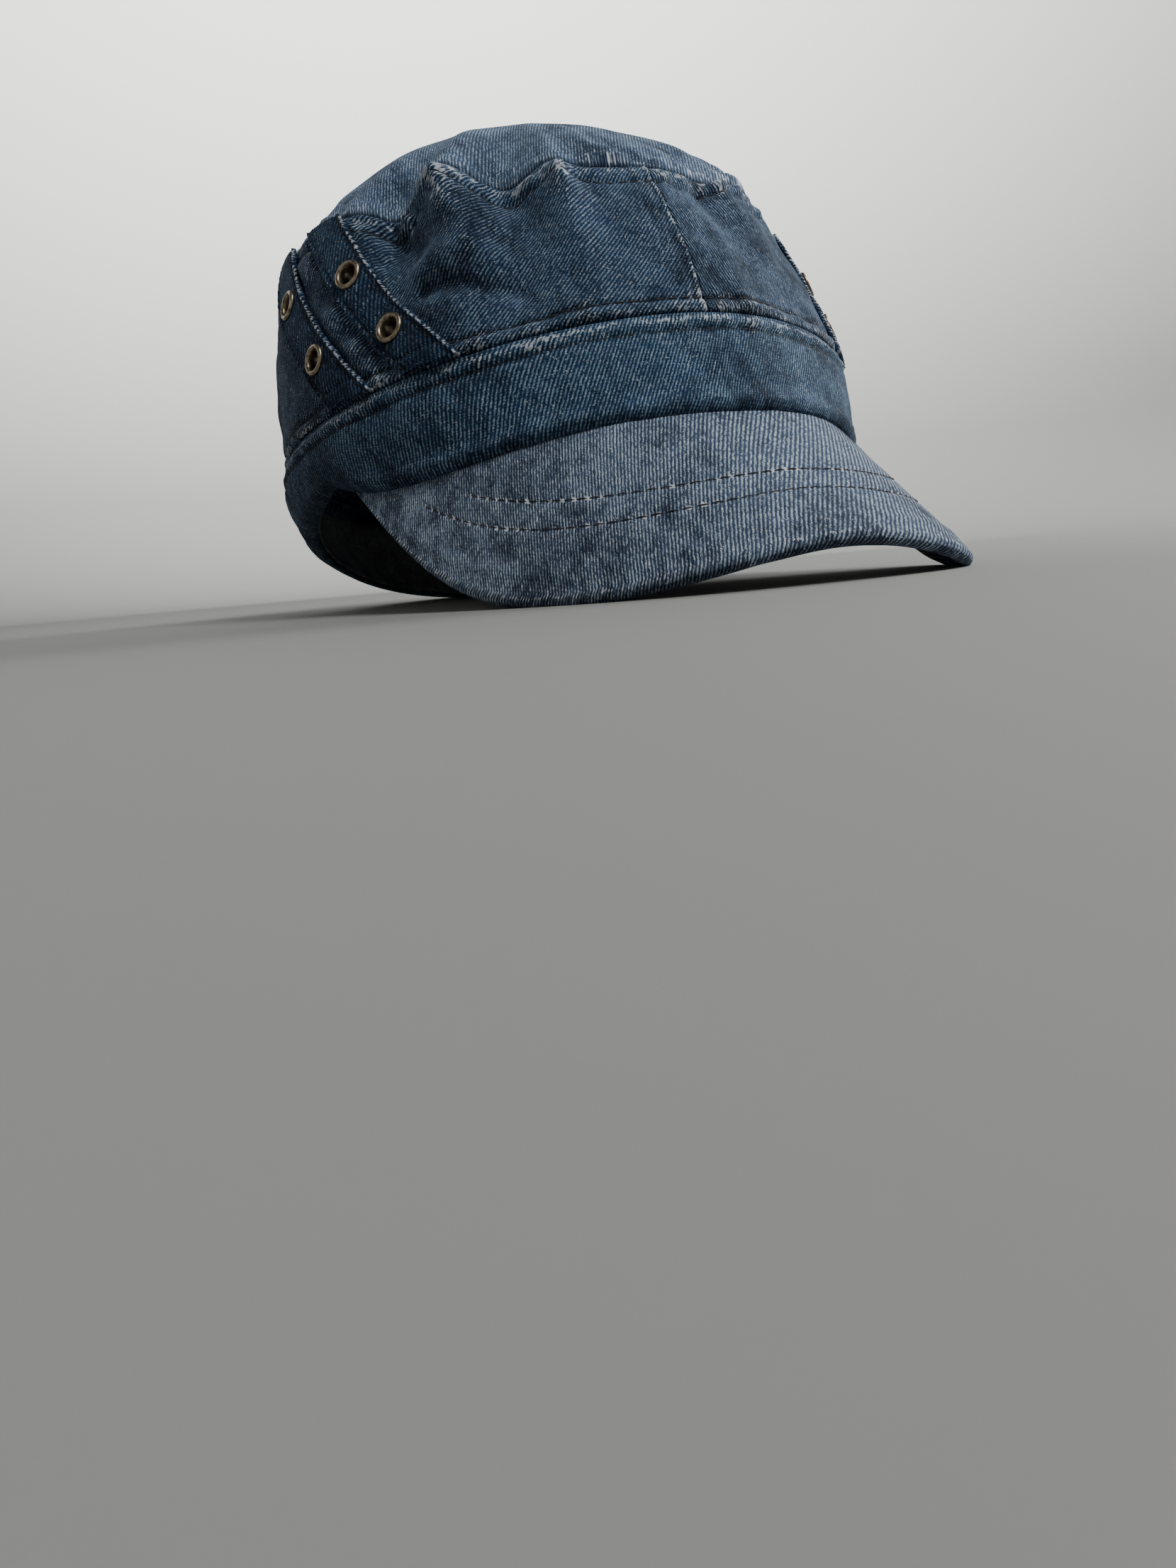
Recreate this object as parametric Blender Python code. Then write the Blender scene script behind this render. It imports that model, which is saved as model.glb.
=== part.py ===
"""A denim cadet cap at rest: band, crown and curved peak, with two eyelet straps on each side.

Metres, +Z up. The cap faces -Y, so the wearer's right side is -X. Its shape is worked out
level, as it is worn, and the last function sets it down on its peak and the back of its hem.
"""

from math import atan2, cos, degrees, exp, hypot, pi, radians, sin

import bmesh
import bpy
from mathutils import Matrix, Vector

# Ovals of the cap, outside sizes
HEM_LENGTH = 0.206
HEM_WIDTH = 0.167
BAND_SEAM_LENGTH = 0.196
BAND_SEAM_WIDTH = 0.177
TOP_SEAM_LENGTH = 0.160
TOP_SEAM_WIDTH = 0.158
EGG = 0.05  # how much narrower the front of each oval is than its back
OVAL_POWER = 1.89  # 2 is an ellipse, and less is more pointed

# Heights above the back of the hem
HEM_CORNER_HEIGHT = 0.006
BAND_SEAM_FRONT = 0.0240
BAND_SEAM_BACK = 0.0300
TOP_SEAM_FRONT = 0.0710
TOP_SEAM_SIDE = 0.0850
TOP_SEAM_BACK = 0.0820
DOME_RISE = 0.0365
DOME_SQUARENESS = 2.5

# Cloth
CROWN_WALL = 0.0015
BAND_WALL = 0.0020
SWEATBAND_WALL = 0.0012
STRAP_WALL = 0.0012
STRAP_LIFT = 0.0005  # gap under the straps
CLOTH_GAP = 0.0003
BAND_BULGE_FRONT = 0.0006
BAND_BULGE_BACK = 0.0055
CROWN_BULGE_FRONT = 0.0016
CROWN_BULGE_BACK = 0.0045
SWEATBAND_RAISE = 0.0012
SWEATBAND_COVER = 0.85  # share of the band that it lines

# Peak
PEAK_REACH = 0.0350
PEAK_PITCH = radians(47.8)
PEAK_HALF_WIDTH = 0.0750
PEAK_SQUARENESS = 2.32
PEAK_ARCH_RADIUS = 0.0507
PEAK_ARCH_FLARE = 0.167
PEAK_CORNER = radians(73.3)
PEAK_WALL = 0.0040
PEAK_CORNER_WALL = 0.0016
BEVEL_RUN_PAST_CORNER = radians(4.0)
BEVEL_FADE = radians(9.0)

# Straps, and the eyelets that pierce them
STRAP_WIDTH = 0.0145
EYELET_FLANGE_RADIUS = 0.0043
EYELET_BORE_RADIUS = 0.0027
EYELET_METAL = 0.0004
EYELET_ROLL = 0.0009
EYELET_WASHER_RADIUS = 0.0040
EYELET_HOLE_CLEARANCE = 0.0003
EYELET_BACK_GAP = 0.0006

# Strap rows: angle of the foot at the band and of the head at the top seam, in degrees from
# the front, and the heights of the two eyelets as shares of the strap's length
STRAPS = (
    {"name": "front", "foot": 47.0, "head": 70.0, "lower": 0.28, "upper": 0.61},
    {"name": "rear", "foot": 63.5, "head": 89.5, "lower": 0.28, "upper": 0.65},
)

# Seam pucker rows: where the top seam is gathered, in degrees from the front, and how far it
# rises and is pushed out there, as shares of the pucker size
PUCKER_SIZE = 0.0060
PUCKER_FADE = 0.45  # share of the way out from the top panel's centre where they begin
SEAM_PUCKERS = (
    {"angle": -148.0, "spread": 9.0, "rise": 0.30, "push": 0.30},
    {"angle": -118.0, "spread": 9.0, "rise": 0.30, "push": 0.25},
    {"angle": -53.0, "spread": 6.0, "rise": -0.45, "push": -0.55},
    {"angle": -40.5, "spread": 5.5, "rise": 0.60, "push": 0.45},
    {"angle": -29.5, "spread": 5.5, "rise": -0.45, "push": -0.60},
    {"angle": -20.0, "spread": 5.0, "rise": 0.20, "push": 0.40},
    {"angle": 16.0, "spread": 6.0, "rise": -0.15, "push": -0.30},
    {"angle": 28.0, "spread": 6.0, "rise": -0.05, "push": 0.05},
    {"angle": 48.0, "spread": 11.0, "rise": -0.55, "push": -0.85},
    {"angle": 112.0, "spread": 9.0, "rise": 0.35, "push": 0.30},
    {"angle": 142.0, "spread": 8.0, "rise": 0.40, "push": 0.35},
)

# Fold rows: each fold of the crown's side runs between two points, given in degrees from the
# front and as a share of the side's height. Its spread and depth are in fold sizes.
FOLD_SIZE = 0.0040
FOLDS = (
    {"a0": -37.0, "h0": 1.0, "a1": -35.0, "h1": 0.58, "spread": 1.8, "depth": 0.45},
    {"a0": -34.0, "h0": 0.36, "a1": -25.0, "h1": 0.28, "spread": 1.6, "depth": -0.65},
    {"a0": -29.0, "h0": 0.56, "a1": -24.0, "h1": 0.53, "spread": 1.7, "depth": 0.45},
    {"a0": -20.0, "h0": 1.0, "a1": -20.5, "h1": 0.35, "spread": 1.7, "depth": 0.45},
    {"a0": -28.0, "h0": 1.0, "a1": -27.0, "h1": 0.72, "spread": 1.6, "depth": -0.35},
    {"a0": -124.0, "h0": 1.0, "a1": -116.0, "h1": 0.25, "spread": 2.2, "depth": 0.45},
    {"a0": 12.0, "h0": 1.0, "a1": 15.0, "h1": 0.30, "spread": 2.0, "depth": -0.35},
    {"a0": 30.0, "h0": 1.0, "a1": 28.0, "h1": 0.45, "spread": 1.9, "depth": -0.50},
    {"a0": 130.0, "h0": 1.0, "a1": 120.0, "h1": 0.20, "spread": 2.2, "depth": 0.45},
)

# Mesh densities
AROUND = 76
SIDE_ROWS = 8
BAND_ROWS = SIDE_ROWS // 2
SWEATBAND_ROWS = SIDE_ROWS // 4
TOP_RINGS = 5
PEAK_COLUMNS = 40
PEAK_ROWS = 5
EDGE_STEPS = 4
STRAP_COLUMNS = 4
STRAP_ROWS = 9
EYELET_SIDES = 12

PRESS = 0.0008  # how far the soft edges flatten where they rest


def oval(angle, length, width):
    """A point of a head-shaped oval. Angles run from the front, positive to the wearer's left."""
    across = abs(sin(angle)) ** (2 / OVAL_POWER) * (1 if sin(angle) > 0 else -1)
    along = abs(cos(angle)) ** (2 / OVAL_POWER) * (1 if cos(angle) > 0 else -1)
    return width / 2 * across * (1 - EGG * along), -length / 2 * along


def smooth_step(value):
    value = min(1.0, max(0.0, value))
    return value * value * (3 - 2 * value)


def outward(point):
    """The direction that cloth is thick in: the normal of the head-shaped dome under the cap."""
    rise = max(0.0, point.z - BAND_SEAM_FRONT)
    height = TOP_SEAM_SIDE + DOME_RISE - BAND_SEAM_FRONT
    return Vector(
        (point.x / BAND_SEAM_WIDTH**2, point.y / BAND_SEAM_LENGTH**2, rise / (4 * height**2))
    ).normalized()


def peak_height(x, y):
    """Height of the peak's upper surface: an arched board that slopes down to the front."""
    arch = x * x / (2 * PEAK_ARCH_RADIUS) * (1 + (x / PEAK_ARCH_FLARE) ** 2)
    corner_x, corner_y = oval(PEAK_CORNER, HEM_LENGTH, HEM_WIDTH)
    corner_arch = corner_x**2 / (2 * PEAK_ARCH_RADIUS) * (1 + (corner_x / PEAK_ARCH_FLARE) ** 2)
    slope = sin(PEAK_PITCH) / cos(PEAK_PITCH)
    return HEM_CORNER_HEIGHT + corner_arch - arch + slope * (y - corner_y)


def peak_normal(x, y):
    step = 0.0002
    across = (peak_height(x + step, y) - peak_height(x - step, y)) / (2 * step)
    along = (peak_height(x, y + step) - peak_height(x, y - step)) / (2 * step)
    return Vector((-across, -along, 1.0)).normalized()


def hem_height(angle, depth):
    """Height of the band's lower edge, at a depth into its wall. Over the peak it follows it."""
    turn = abs(angle)
    x, y = oval(angle, HEM_LENGTH - 2 * depth, HEM_WIDTH - 2 * depth)
    run_end = PEAK_CORNER + BEVEL_RUN_PAST_CORNER
    if turn <= run_end:
        return peak_height(x, y) + CLOTH_GAP
    end_x, end_y = oval(run_end, HEM_LENGTH - 2 * depth, HEM_WIDTH - 2 * depth)
    start = peak_height(end_x, end_y) + CLOTH_GAP
    outer_x, outer_y = oval(run_end, HEM_LENGTH, HEM_WIDTH)
    outer_start = peak_height(outer_x, outer_y) + CLOTH_GAP
    fade = 1 - smooth_step((turn - run_end) / BEVEL_FADE)
    fall = 0.5 + 0.5 * cos(pi * (turn - run_end) / (pi - run_end))
    return outer_start * fall + (start - outer_start) * fade


def band_seam(angle):
    x, y = oval(angle, BAND_SEAM_LENGTH, BAND_SEAM_WIDTH)
    to_back = (1 - cos(angle)) / 2
    return Vector((x, y, BAND_SEAM_FRONT + (BAND_SEAM_BACK - BAND_SEAM_FRONT) * to_back))


def top_seam(angle, gather=1.0):
    """The seam round the top panel, with the puckers that the thread has drawn in."""
    x, y = oval(angle, TOP_SEAM_LENGTH, TOP_SEAM_WIDTH)
    mean = (TOP_SEAM_FRONT + TOP_SEAM_BACK) / 4 + TOP_SEAM_SIDE / 2
    tilt = (TOP_SEAM_FRONT - TOP_SEAM_BACK) / 2
    sag = (TOP_SEAM_FRONT + TOP_SEAM_BACK) / 4 - TOP_SEAM_SIDE / 2
    rise = push = 0.0
    for row in SEAM_PUCKERS:
        away = (degrees(angle) - row["angle"] + 180) % 360 - 180
        bump = exp(-((away / row["spread"]) ** 2))
        rise += PUCKER_SIZE * gather * row["rise"] * bump
        push += PUCKER_SIZE * gather * row["push"] * bump
    height = mean + tilt * cos(angle) + sag * cos(2 * angle) + rise
    out = Vector((x, y, 0)).normalized() * push
    return Vector((x, y, height)) + out


def fold_depth(angle, share):
    """How far the folds push the crown's side out (positive) or in at a place on it."""
    across = (BAND_SEAM_LENGTH + BAND_SEAM_WIDTH) / 4
    tall = TOP_SEAM_SIDE - BAND_SEAM_FRONT
    total = 0.0
    for row in FOLDS:
        x0, z0 = radians(row["a0"]) * across, row["h0"] * tall
        x1, z1 = radians(row["a1"]) * across, row["h1"] * tall
        px, pz = angle * across - x0, share * tall - z0
        dx, dz = x1 - x0, z1 - z0
        run = min(1.0, max(0.0, (px * dx + pz * dz) / (dx * dx + dz * dz)))
        away = hypot(px - run * dx, pz - run * dz)
        total += row["depth"] * FOLD_SIZE * exp(-((away / (row["spread"] * FOLD_SIZE)) ** 2))
    return total


def strap_hold(angle, share):
    """1 at the straps, where the doubled cloth lies flat, falling to 0 away from them."""
    hold = 0.0
    for row in STRAPS:
        centre = radians(row["foot"] + (row["head"] - row["foot"]) * share)
        away = abs(abs(angle) - centre) * (BAND_SEAM_LENGTH + BAND_SEAM_WIDTH) / 4
        hold = max(hold, 1 - smooth_step((away - STRAP_WIDTH) / (STRAP_WIDTH / 2)))
    return hold


def crown_side(angle, share):
    """The crown's side, from the band seam at share 0 to the top seam at share 1."""
    low, high = band_seam(angle), top_seam(angle)
    point = low.lerp(high, share)
    to_back = (1 - cos(angle)) / 2
    bulge = CROWN_BULGE_FRONT + (CROWN_BULGE_BACK - CROWN_BULGE_FRONT) * to_back
    loose = fold_depth(angle, share) * (1 - strap_hold(angle, share)) * sin(pi * share) ** 0.5
    return point + outward(point) * (bulge * 4 * share * (1 - share) + loose)


def crown_top(angle, ring):
    """The top panel, from its centre at ring 0 to its seam at ring 1."""
    edge = top_seam(angle, smooth_step((ring - PUCKER_FADE) / (1 - PUCKER_FADE)))
    centre = Vector((0, 0, TOP_SEAM_SIDE))
    point = centre.lerp(edge, ring)
    point.z += DOME_RISE * (1 - ring**DOME_SQUARENESS)
    return point


def band_side(angle, share, depth):
    """The band, from its hem at share 0 to the band seam at share 1, at a depth into its wall."""
    x, y = oval(angle, HEM_LENGTH - 2 * depth, HEM_WIDTH - 2 * depth)
    low = Vector((x, y, hem_height(angle, depth)))
    top = band_seam(angle)
    high = top - outward(top) * depth
    to_back = (1 - cos(angle)) / 2
    bulge = BAND_BULGE_FRONT + (BAND_BULGE_BACK - BAND_BULGE_FRONT) * to_back
    point = low.lerp(high, share)
    return point + outward(point) * bulge * 4 * share * (1 - share)


def cloth_material(name, colour, roughness, metallic=0.0):
    material = bpy.data.materials.new(name)
    material.use_nodes = True
    shader = material.node_tree.nodes["Principled BSDF"]
    shader.inputs["Base Color"].default_value = (*colour, 1.0)
    shader.inputs["Roughness"].default_value = roughness
    shader.inputs["Metallic"].default_value = metallic
    return material


def mesh_object(name, bm, material):
    bmesh.ops.recalc_face_normals(bm, faces=bm.faces)
    mesh = bpy.data.meshes.new(name)
    bm.to_mesh(mesh)
    bm.free()
    mesh.shade_smooth()
    mesh.set_sharp_from_angle(angle=radians(40))
    thing = bpy.data.objects.new(name, mesh)
    bpy.context.scene.collection.objects.link(thing)
    mesh.materials.append(material)
    return thing


def walled(name, columns, rows, outer, inner, material):
    """A closed wall of cloth: a grid laid on the outer face, and extruded to the inner one.

    outer and inner give a point for each place of the grid, whose two shares run from 0 to 1.
    """
    bm = bmesh.new()
    grid = bmesh.ops.create_grid(bm, x_segments=columns, y_segments=rows, size=0.5)
    places = {v: (v.co.x + 0.5, v.co.y + 0.5) for v in grid["verts"]}
    made = bmesh.ops.extrude_face_region(bm, geom=bm.faces[:], use_keep_orig=True)
    for v in [g for g in made["geom"] if isinstance(g, bmesh.types.BMVert)]:
        v.co = inner(v.co.x + 0.5, v.co.y + 0.5)
    for v, place in places.items():
        v.co = outer(*place)
    bmesh.ops.remove_doubles(bm, verts=bm.verts, dist=0.00002)
    return mesh_object(name, bm, material)


def ring_wall(name, rows, surface, wall, material, offset=0.0):
    """A wall that goes all the way round. surface gives a point for an angle and a share."""
    bm = bmesh.new()
    bmesh.ops.create_grid(bm, x_segments=AROUND, y_segments=rows, size=0.5)
    shares = {v: (v.co.x * 2 * pi, v.co.y + 0.5) for v in bm.verts}
    inner_places = {}
    for v, (angle, share) in shares.items():
        v.co = surface(angle, share, offset)
        inner_places[tuple(round(c, 6) for c in v.co)] = surface(angle, share, offset + wall)
    bmesh.ops.remove_doubles(bm, verts=bm.verts, dist=0.00002)
    made = bmesh.ops.extrude_face_region(bm, geom=bm.faces[:], use_keep_orig=True)
    for v in [g for g in made["geom"] if isinstance(g, bmesh.types.BMVert)]:
        v.co = inner_places[tuple(round(c, 6) for c in v.co)]
    return mesh_object(name, bm, material)


def make_band(material):
    return ring_wall("band", BAND_ROWS, band_side, BAND_WALL, material)


def make_sweatband(material):
    """The tape round the inside of the band, a little above its hem."""

    def surface(angle, share, depth):
        tall = band_seam(angle).z - hem_height(angle, depth)
        up = (SWEATBAND_RAISE + SWEATBAND_COVER * (tall - SWEATBAND_RAISE) * share) / tall
        row = min(BAND_ROWS - 1, int(up * BAND_ROWS))
        below = band_side(angle, row / BAND_ROWS, depth)
        above = band_side(angle, (row + 1) / BAND_ROWS, depth)
        return below.lerp(above, up * BAND_ROWS - row)

    return ring_wall(
        "sweatband", SWEATBAND_ROWS, surface, SWEATBAND_WALL, material, BAND_WALL + CLOTH_GAP
    )


def make_crown_top(material):
    seam_gap = 1 - 2 * CLOTH_GAP / TOP_SEAM_LENGTH

    def surface(angle, share, depth):
        point = crown_top(angle, share * seam_gap)
        return point - outward(point) * depth

    return ring_wall("crown_top", TOP_RINGS, surface, CROWN_WALL, material)


def make_crown_side(name, side, material):
    """One half of the crown's side, between the front and back seams. side is -1 or 1."""
    end_gap = CLOTH_GAP / (pi * BAND_SEAM_LENGTH)
    foot_gap = CLOTH_GAP / (TOP_SEAM_FRONT - BAND_SEAM_FRONT)

    def outer(around, up):
        angle = side * pi * (end_gap + around * (1 - 2 * end_gap))
        return crown_side(angle, foot_gap + up * (1 - 2 * foot_gap))

    def inner(around, up):
        point = outer(around, up)
        return point - outward(point) * CROWN_WALL

    return walled(name, AROUND // 2, SIDE_ROWS, outer, inner, material)


def peak_outline(share):
    """The peak's outer outline in plan, from one corner at -1 to the other at 1."""
    corner_x, corner_y = oval(
        PEAK_CORNER, HEM_LENGTH - PEAK_CORNER_WALL, HEM_WIDTH - PEAK_CORNER_WALL
    )
    turn = share * pi / 2
    power = 2 / PEAK_SQUARENESS
    side = abs(sin(turn)) ** power
    front = max(0.0, cos(turn)) ** power
    x = PEAK_HALF_WIDTH * side * (1 - (1 - corner_x / PEAK_HALF_WIDTH) * (1 - front) ** 4)
    y = corner_y + (-HEM_LENGTH / 2 - PEAK_REACH - corner_y) * front
    return (x if share > 0 else -x), y


def make_peak(material):
    """The peak: a stiffened board in cloth, thinner at its corners, with a round outer edge."""
    bm = bmesh.new()
    step = 1e-4
    sections = []
    for column in range(PEAK_COLUMNS + 1):
        share = -1 + 2 * column / PEAK_COLUMNS
        inner_x, inner_y = oval(
            share * PEAK_CORNER, HEM_LENGTH - 2 * BAND_WALL, HEM_WIDTH - 2 * BAND_WALL
        )
        outer_x, outer_y = peak_outline(share)
        wall = PEAK_CORNER_WALL + (PEAK_WALL - PEAK_CORNER_WALL) * smooth_step(
            3 * (1 - abs(share))
        )
        back_x, back_y = peak_outline(max(-1, share - step))
        next_x, next_y = peak_outline(min(1, share + step))
        along = Vector(
            (next_x - back_x, next_y - back_y, peak_height(next_x, next_y) - peak_height(back_x, back_y))
        ).normalized()
        upper, lower = [], []
        for row in range(PEAK_ROWS + 1):
            out = row / PEAK_ROWS
            x, y = inner_x + (outer_x - inner_x) * out, inner_y + (outer_y - inner_y) * out
            normal = peak_normal(x, y)
            top = Vector((x, y, peak_height(x, y)))
            upper.append(top)
            lower.append(top - normal * wall)
        edge_normal = peak_normal(outer_x, outer_y)
        out_dir = along.cross(edge_normal).normalized()
        middle = upper[-1] - edge_normal * wall / 2
        round_edge = []
        for k in range(1, EDGE_STEPS):
            turn = pi / 2 - pi * k / EDGE_STEPS
            round_edge.append(middle + (edge_normal * sin(turn) + out_dir * cos(turn)) * wall / 2)
        sections.append([bm.verts.new(p) for p in upper + round_edge + lower[::-1]])
    for one, two in zip(sections, sections[1:]):
        for k in range(len(one)):
            after = (k + 1) % len(one)
            bm.faces.new((one[k], one[after], two[after], two[k]))
    bm.faces.new(sections[0])
    bm.faces.new(sections[-1])
    return mesh_object("peak", bm, material)


def strap_place(row, side, along, across):
    """The angle and height share of a place on a strap: along 0 to 1, across -0.5 to 0.5."""
    angle = radians(row["foot"] + (row["head"] - row["foot"]) * along)
    step = 0.001
    reach = (crown_side(angle + step, along) - crown_side(angle, along)).length / step
    rise = crown_side(angle, min(1, along + step)) - crown_side(angle, along)
    run = radians(row["head"] - row["foot"]) * step * reach
    slant = atan2(rise.length, run)
    angle += across * STRAP_WIDTH / sin(slant) / reach
    return side * angle, along


def make_strap(name, row, side, material):
    """A strap laid over the crown's side, from the band seam to the top seam."""
    end_gap = CLOTH_GAP / (TOP_SEAM_FRONT - BAND_SEAM_FRONT)

    def lifted(across, along, lift):
        angle, share = strap_place(row, side, 2 * end_gap + along * (1 - 4 * end_gap), across - 0.5)
        point = crown_side(angle, share)
        return point + outward(point) * lift

    return walled(
        name,
        STRAP_COLUMNS,
        STRAP_ROWS,
        lambda across, along: lifted(across, along, STRAP_LIFT + STRAP_WALL),
        lambda across, along: lifted(across, along, STRAP_LIFT),
        material,
    )


def eyelet_frame(row, side, along):
    """The place and turn of an eyelet: its own +Z points out of the strap's face."""
    angle, share = strap_place(row, side, along, 0.0)
    step = 0.03
    here = crown_side(angle, share)
    round_ = crown_side(angle + step, share) - crown_side(angle - step, share)
    up = crown_side(angle, share + step) - crown_side(angle, share - step)
    axis = round_.cross(up).normalized()
    if axis.dot(outward(here)) < 0:
        axis = -axis
    face = here + axis * (STRAP_LIFT + STRAP_WALL + CLOTH_GAP)
    return Matrix.Translation(face) @ axis.to_track_quat("Z", "Y").to_matrix().to_4x4()


def make_eyelet(name, frame, material):
    """A brass eyelet: a rolled flange on the strap, a barrel through the cloth, a back washer."""
    bore, flange = EYELET_BORE_RADIUS, EYELET_FLANGE_RADIUS
    barrel = bore + EYELET_METAL
    back = -(CLOTH_GAP + STRAP_WALL + STRAP_LIFT + CROWN_WALL + EYELET_BACK_GAP)
    section = (
        (bore, back),
        (bore, EYELET_ROLL * 0.6),
        ((bore + flange) / 2, EYELET_ROLL),
        (flange, 0.0),
        (barrel, 0.0),
        (barrel, back),
        (EYELET_WASHER_RADIUS, back),
        (EYELET_WASHER_RADIUS, back - EYELET_METAL),
        (bore, back - EYELET_METAL),
    )
    bm = bmesh.new()
    ring = [bm.verts.new((radius, 0, height)) for radius, height in section]
    edges = [bm.edges.new((a, b)) for a, b in zip(ring, ring[1:] + ring[:1])]
    bmesh.ops.spin(
        bm,
        geom=ring + edges,
        axis=(0, 0, 1),
        cent=(0, 0, 0),
        angle=2 * pi,
        steps=EYELET_SIDES,
        use_merge=True,
    )
    bmesh.ops.transform(bm, matrix=frame, verts=bm.verts)
    return mesh_object(name, bm, material)


def pierce(thing, frame):
    """Cuts an eyelet's hole through a piece of cloth."""
    bm = bmesh.new()
    radius = EYELET_BORE_RADIUS + EYELET_METAL + EYELET_HOLE_CLEARANCE
    depth = 4 * (STRAP_WALL + CROWN_WALL)
    bmesh.ops.create_cone(
        bm, cap_ends=True, segments=EYELET_SIDES, radius1=radius, radius2=radius, depth=2 * depth
    )
    bmesh.ops.transform(bm, matrix=frame, verts=bm.verts)
    mesh = bpy.data.meshes.new("eyelet_hole")
    bm.to_mesh(mesh)
    bm.free()
    cutter = bpy.data.objects.new("cut_" + thing.name, mesh)
    bpy.context.scene.collection.objects.link(cutter)
    cutter.hide_render = True
    cutter.display_type = "WIRE"
    cut = thing.modifiers.new("eyelet_hole", "BOOLEAN")
    cut.operation = "DIFFERENCE"
    cut.object = cutter
    return cutter


def lowest(points, turn):
    return min((turn @ p).z for p in points)


def set_down(things, peak, band):
    """Tilts the cap back until its peak and the back of its hem meet the floor, centres it,
    and flattens the edges that it rests on."""
    front = [v.co.copy() for v in peak.data.vertices]
    back = [v.co.copy() for v in band.data.vertices if v.co.y > 0]
    low, high = 0.0, radians(40)
    for _ in range(40):
        middle = (low + high) / 2
        turn = Matrix.Rotation(-middle, 4, "X")
        if lowest(front, turn) < lowest(back, turn):
            low = middle
        else:
            high = middle
    turn = Matrix.Rotation(-low, 4, "X")
    turned = [turn @ v.co for thing in things for v in thing.data.vertices]
    ys = [p.y for p in turned]
    zs = [p.z for p in turned]
    place = Matrix.Translation((0, -(min(ys) + max(ys)) / 2, -min(zs) - PRESS)) @ turn
    for thing in bpy.context.scene.objects:
        thing.data.transform(place)
    for thing in things:
        for v in thing.data.vertices:
            v.co.z = max(0.0, v.co.z)
    return degrees(low)


def build():
    for old in list(bpy.data.objects):
        bpy.data.objects.remove(old)
    denim = cloth_material("denim", (0.035, 0.065, 0.125), 0.9)
    worn_denim = cloth_material("peak_denim", (0.075, 0.100, 0.155), 0.9)
    tape = cloth_material("sweatband_tape", (0.12, 0.12, 0.13), 0.85)
    brass = cloth_material("old_brass", (0.42, 0.30, 0.16), 0.35, 1.0)

    band = make_band(denim)
    peak = make_peak(worn_denim)
    cloth = [band, peak, make_sweatband(tape), make_crown_top(denim)]
    for side_name, side in (("right", -1), ("left", 1)):
        panel = make_crown_side("crown_side_" + side_name, side, denim)
        cloth.append(panel)
        for row in STRAPS:
            strap = make_strap(f"strap_{side_name}_{row['name']}", row, side, denim)
            cloth.append(strap)
            for level in ("lower", "upper"):
                frame = eyelet_frame(row, side, row[level])
                name = f"eyelet_{side_name}_{row['name']}_{level}"
                cloth.append(make_eyelet(name, frame, brass))
                pierce(panel, frame)
                pierce(strap, frame)
    set_down(cloth, peak, band)


build()
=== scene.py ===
"""A washed denim cadet cap at rest on a pale floor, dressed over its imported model."""

from math import cos, pi, radians, sin

import bpy
import numpy as np
from mathutils import Matrix, Vector


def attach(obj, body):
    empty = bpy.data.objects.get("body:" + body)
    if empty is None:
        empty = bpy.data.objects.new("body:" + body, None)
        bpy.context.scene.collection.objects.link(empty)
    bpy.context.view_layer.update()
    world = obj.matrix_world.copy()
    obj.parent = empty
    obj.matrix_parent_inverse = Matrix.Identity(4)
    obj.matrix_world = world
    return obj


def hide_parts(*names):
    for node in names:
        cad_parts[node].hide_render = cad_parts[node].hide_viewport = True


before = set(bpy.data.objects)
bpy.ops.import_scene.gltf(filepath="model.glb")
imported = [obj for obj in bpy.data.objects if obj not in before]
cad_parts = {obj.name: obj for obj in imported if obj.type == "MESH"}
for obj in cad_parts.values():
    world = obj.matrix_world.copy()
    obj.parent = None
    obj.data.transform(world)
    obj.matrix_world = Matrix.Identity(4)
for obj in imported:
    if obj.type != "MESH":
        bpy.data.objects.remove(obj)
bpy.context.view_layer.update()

# The peak
# A stiff board covered in denim, its top cloth paler than the crown, with a painted highlight over
# its middle, painted shade towards the wearer's right end and a painted-dark underside. The cloth
# is turned round the board's edge, and two rows of dark thread follow that edge across the front.
# Its inner edge is sewn in under the band.
HEM_LENGTH = 0.206
HEM_WIDTH = 0.167
HEM_CORNER = 0.006  # height of the hem where the peak ends
OVAL_POWER = 1.89  # 2 is an ellipse
EGG = 0.05  # how much narrower the front of each oval is
PEAK_REACH = 0.0350
PEAK_HALF_WIDTH = 0.0750
PEAK_CORNER = radians(73.3)
PEAK_SQUARENESS = 2.32
PEAK_ARCH = 0.1014
PEAK_FLARE = 0.167
PEAK_SLOPE = 1.1028
SLOPING = 1.49  # length on the sloping board for each unit towards the front
ROOT_INSET = 0.004
PEAK_THICK = 0.0040
CORNER_THICK = 0.0016
# painted shade: how much darker the peak's underside is made
UNDERSIDE_PAINTED_SHADE = -0.55
EYELET_HOLE = 0.0036
WEAVE_RELIEF = 0.00030
SET_DOWN = Matrix.Translation((0, 0.018848, 0.021373)) @ Matrix.Rotation(radians(-12.4313), 4, "X")


def stack(*parts):
    return np.stack(np.broadcast_arrays(*parts), axis=-1)


def smooth(value):
    value = np.clip(value, 0, 1)
    return value * value * (3 - 2 * value)


def bump(distance, spread):
    return np.exp(-((distance / spread) ** 2))


def crumple(x, y, size, seed):
    """Soft random values from -1 to 1 that change over about that size."""
    lattice = np.random.RandomState(seed).uniform(-1, 1, (97, 97))
    u, v = np.broadcast_arrays(x / size + 400, y / size + 400)
    i, j = np.floor(u).astype(int), np.floor(v).astype(int)
    fu, fv = smooth(u - i), smooth(v - j)
    low = lattice[i % 97, j % 97] * (1 - fu) + lattice[(i + 1) % 97, j % 97] * fu
    high = lattice[i % 97, (j + 1) % 97] * (1 - fu) + lattice[(i + 1) % 97, (j + 1) % 97] * fu
    return low * (1 - fv) + high * fv


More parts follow.
